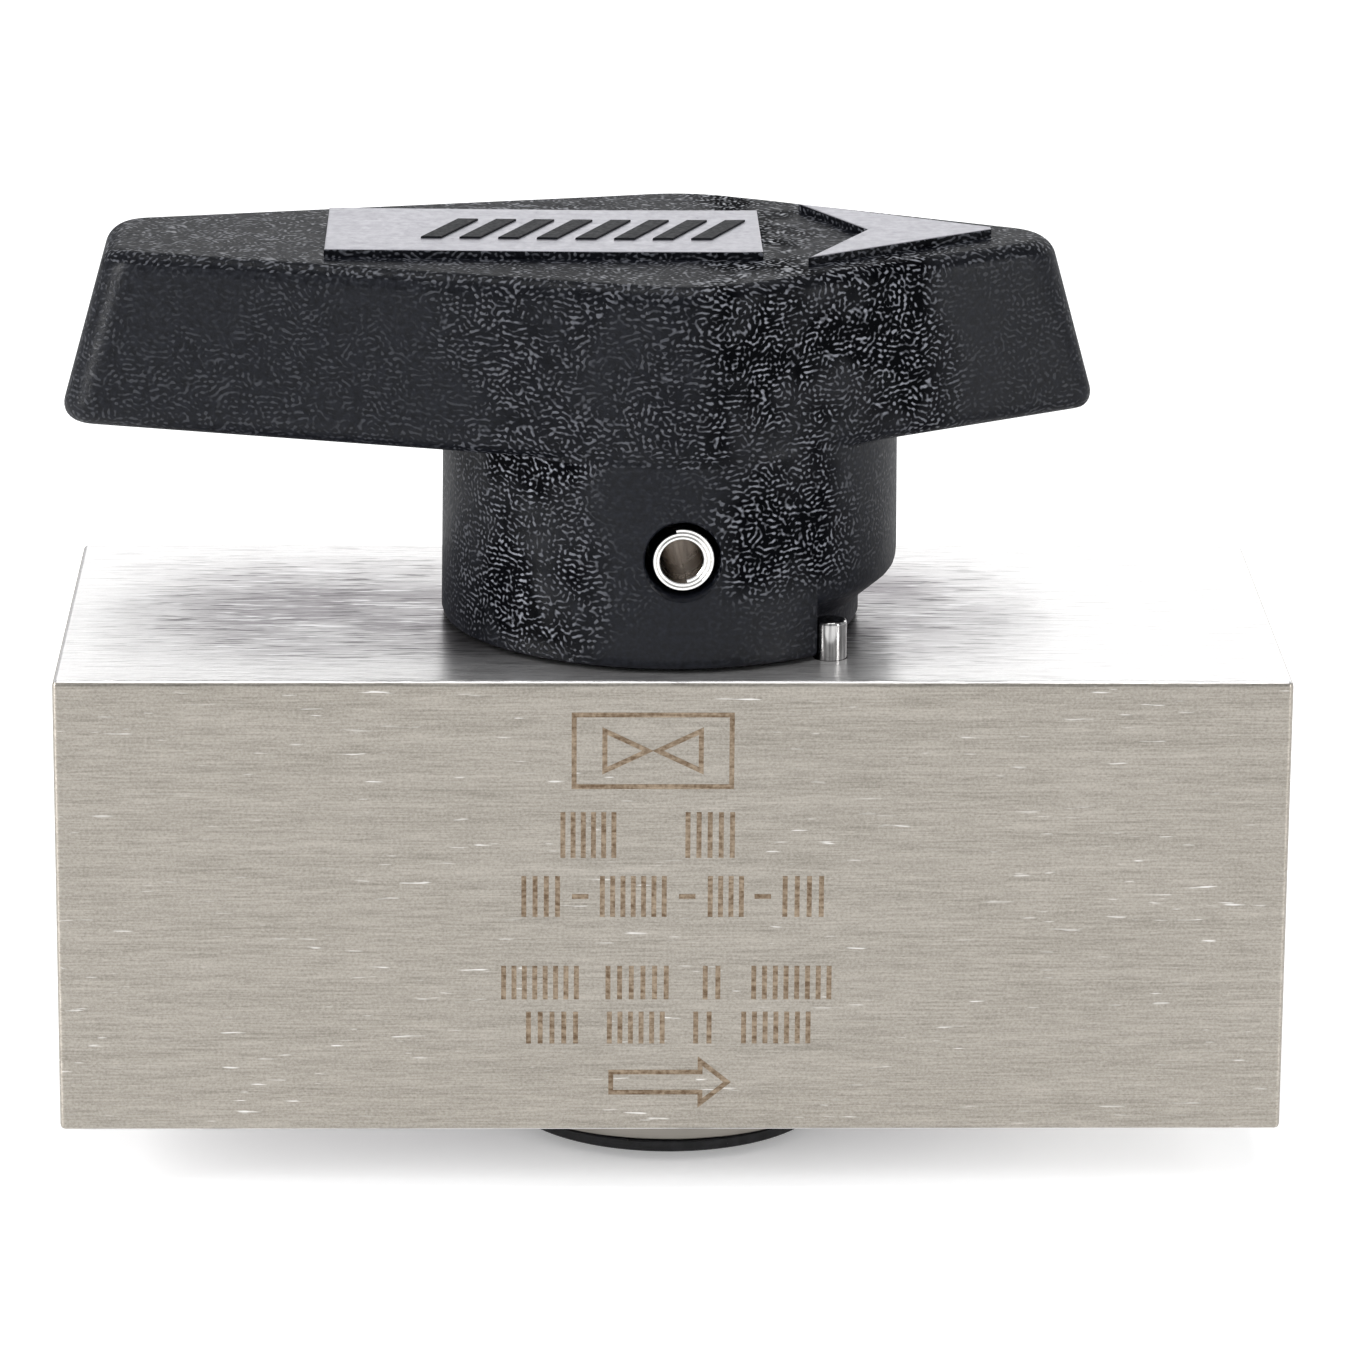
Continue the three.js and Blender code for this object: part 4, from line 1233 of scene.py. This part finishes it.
def build_plug():
    """The plug, its stem and its journal: a turned profile of (radius, height, edge radius) points."""
    chamfer = 0.4
    groove_r, groove_low, groove_high = 6.55, 0.55, 1.35
    gland_r, gland_low, gland_high = 9.0, 26.0, 28.9
    points = [
        (0, 0, 0),
        (JOURNAL_R, 0, chamfer),
        (JOURNAL_R, groove_low, 0.05),
        (groove_r, groove_low, 0.08),
        (groove_r, groove_high, 0.08),
        (JOURNAL_R, groove_high, 0.05),
        (JOURNAL_R, SHOULDER_Z, 0.2),
        (PLUG_R, SHOULDER_Z, chamfer),
        (PLUG_R, gland_low, 0.1),
        (gland_r, gland_low, 0.2),
        (gland_r, gland_high, 0.2),
        (PLUG_R, gland_high, 0.1),
        (PLUG_R, BARREL_TOP_Z, chamfer),
        (STEM_R, BARREL_TOP_Z, 0.2),
        (STEM_R, STEM_TOP_Z, chamfer),
        (0, STEM_TOP_Z, 0),
    ]
    profile = rounded([(r, z) for r, z, _ in points], [edge for _, _, edge in points], steps=3)
    far = PLUG_R + 2
    tools = [place(rod("passage", PASSAGE_R, -far, far, 96), lay_along("+X"), (0, 0, FLOW_Z))]
    tools.append(across_stem(rod("pin_hole", STEM_PIN_HOLE_R, -far, far, 64), PIN_Z))
    for side in ("+Y", "-Y"):
        pocket = ring("pocket", SEAL_POCKET_INNER_R, SEAL_POCKET_OUTER_R, SEAL_POCKET_FLOOR, far, 0.1)
        tools.append(place(pocket, lay_along(side), (0, 0, FLOW_Z)))
    plug = boolean(revolve("plug_and_stem", profile), tools)
    flatten_large_faces(plug)
    finish_piece(plug, ROTOR, "turned_stainless", TURNED, nodes=["rotary_plug"])


# ---- Marks on the front face: a flow arrow, a valve symbol in a frame, and rows of plain ticks ----

MARK_PROUD = 0.015
MARK_SUNK = 0.03
MARK_LINE = 0.3
FRAME_CENTRE, FRAME_HALF = (-1.24, 28.05), (4.75, 2.25)
SYMBOL_HALF = (2.9, 1.25)
ARROW_TIP, ARROW_TAIL_X, ARROW_HEAD_X = (3.4, 6.93), -3.7, 1.75
ARROW_HEAD_HALF, ARROW_SHAFT_HALF = 1.35, 0.65

# Rows of evenly spaced ticks as (middle height, tick height, stretches of X that they fill)
TICK_SPACING = 0.66
TICK_ROWS = (
    (22.74, 2.9, ((-6.96, -3.27), (0.56, 3.92))),
    (18.84, 2.6, ((-9.35, -6.63), (-4.57, -0.2), (1.96, 4.48), (6.44, 9.38))),
    (13.34, 2.15, ((-10.55, -5.5), (-4.25, 0.0), (1.63, 3.17), (4.64, 9.87))),
    (10.45, 2.05, ((-9.08, -5.5), (-4.12, -0.26), (1.05, 2.68), (4.05, 8.63))),
)
DASHES, DASH_Z, DASH_HALF = (-5.6, 0.88, 5.46), 18.84, 0.5


def tick_bars():
    """Every tick, and the dashes in the second row, as outlines of (x, z) points."""
    bars = [rectangle((x, DASH_Z), (DASH_HALF, MARK_LINE / 2)) for x in DASHES]
    for middle, height, stretches in TICK_ROWS:
        for low, high in stretches:
            count = round((high - low) / TICK_SPACING)
            for k in range(count):
                x = low + (high - low) * (k + 0.5) / count
                bars.append(rectangle((x, middle), (MARK_LINE / 2, height / 2)))
    return bars


def flow_arrow():
    """The outline of the arrow that points from inlet to outlet."""
    tip_x, z = ARROW_TIP
    return [
        (ARROW_TAIL_X, z - ARROW_SHAFT_HALF),
        (ARROW_HEAD_X, z - ARROW_SHAFT_HALF),
        (ARROW_HEAD_X, z - ARROW_HEAD_HALF),
        (tip_x, z),
        (ARROW_HEAD_X, z + ARROW_HEAD_HALF),
        (ARROW_HEAD_X, z + ARROW_SHAFT_HALF),
        (ARROW_TAIL_X, z + ARROW_SHAFT_HALF),
    ]


def valve_symbol():
    """The two triangles, tip to tip, that stand for a valve on drawings."""
    x, z = FRAME_CENTRE
    w, h = SYMBOL_HALF
    left = [(x - w, z - h), (x - MARK_LINE, z), (x - w, z + h)]
    right = [(x + w, z + h), (x + MARK_LINE, z), (x + w, z - h)]
    return [left, right]


def build_face_marks():
    lines = [rectangle(FRAME_CENTRE, FRAME_HALF), flow_arrow()] + valve_symbol()
    films = [band("mark", outline, MARK_LINE, -MARK_SUNK, MARK_PROUD) for outline in lines]
    films += [prism("mark", outline, -MARK_SUNK, MARK_PROUD) for outline in tick_bars()]
    marks = join(films)
    marks.name = "front_face_marks"
    place(marks, Matrix.Rotation(QUARTER, 4, "X"), (0, FRONT_Y, 0))
    finish_piece(marks, ROOT, "brushed_stainless", ETCH)


build_body()
build_handle()
build_raised_marks()
build_handle_pin()
build_stop_pin()
build_retaining_ring()
build_washers_and_seals()
build_port_seals()
build_plug()
build_face_marks()
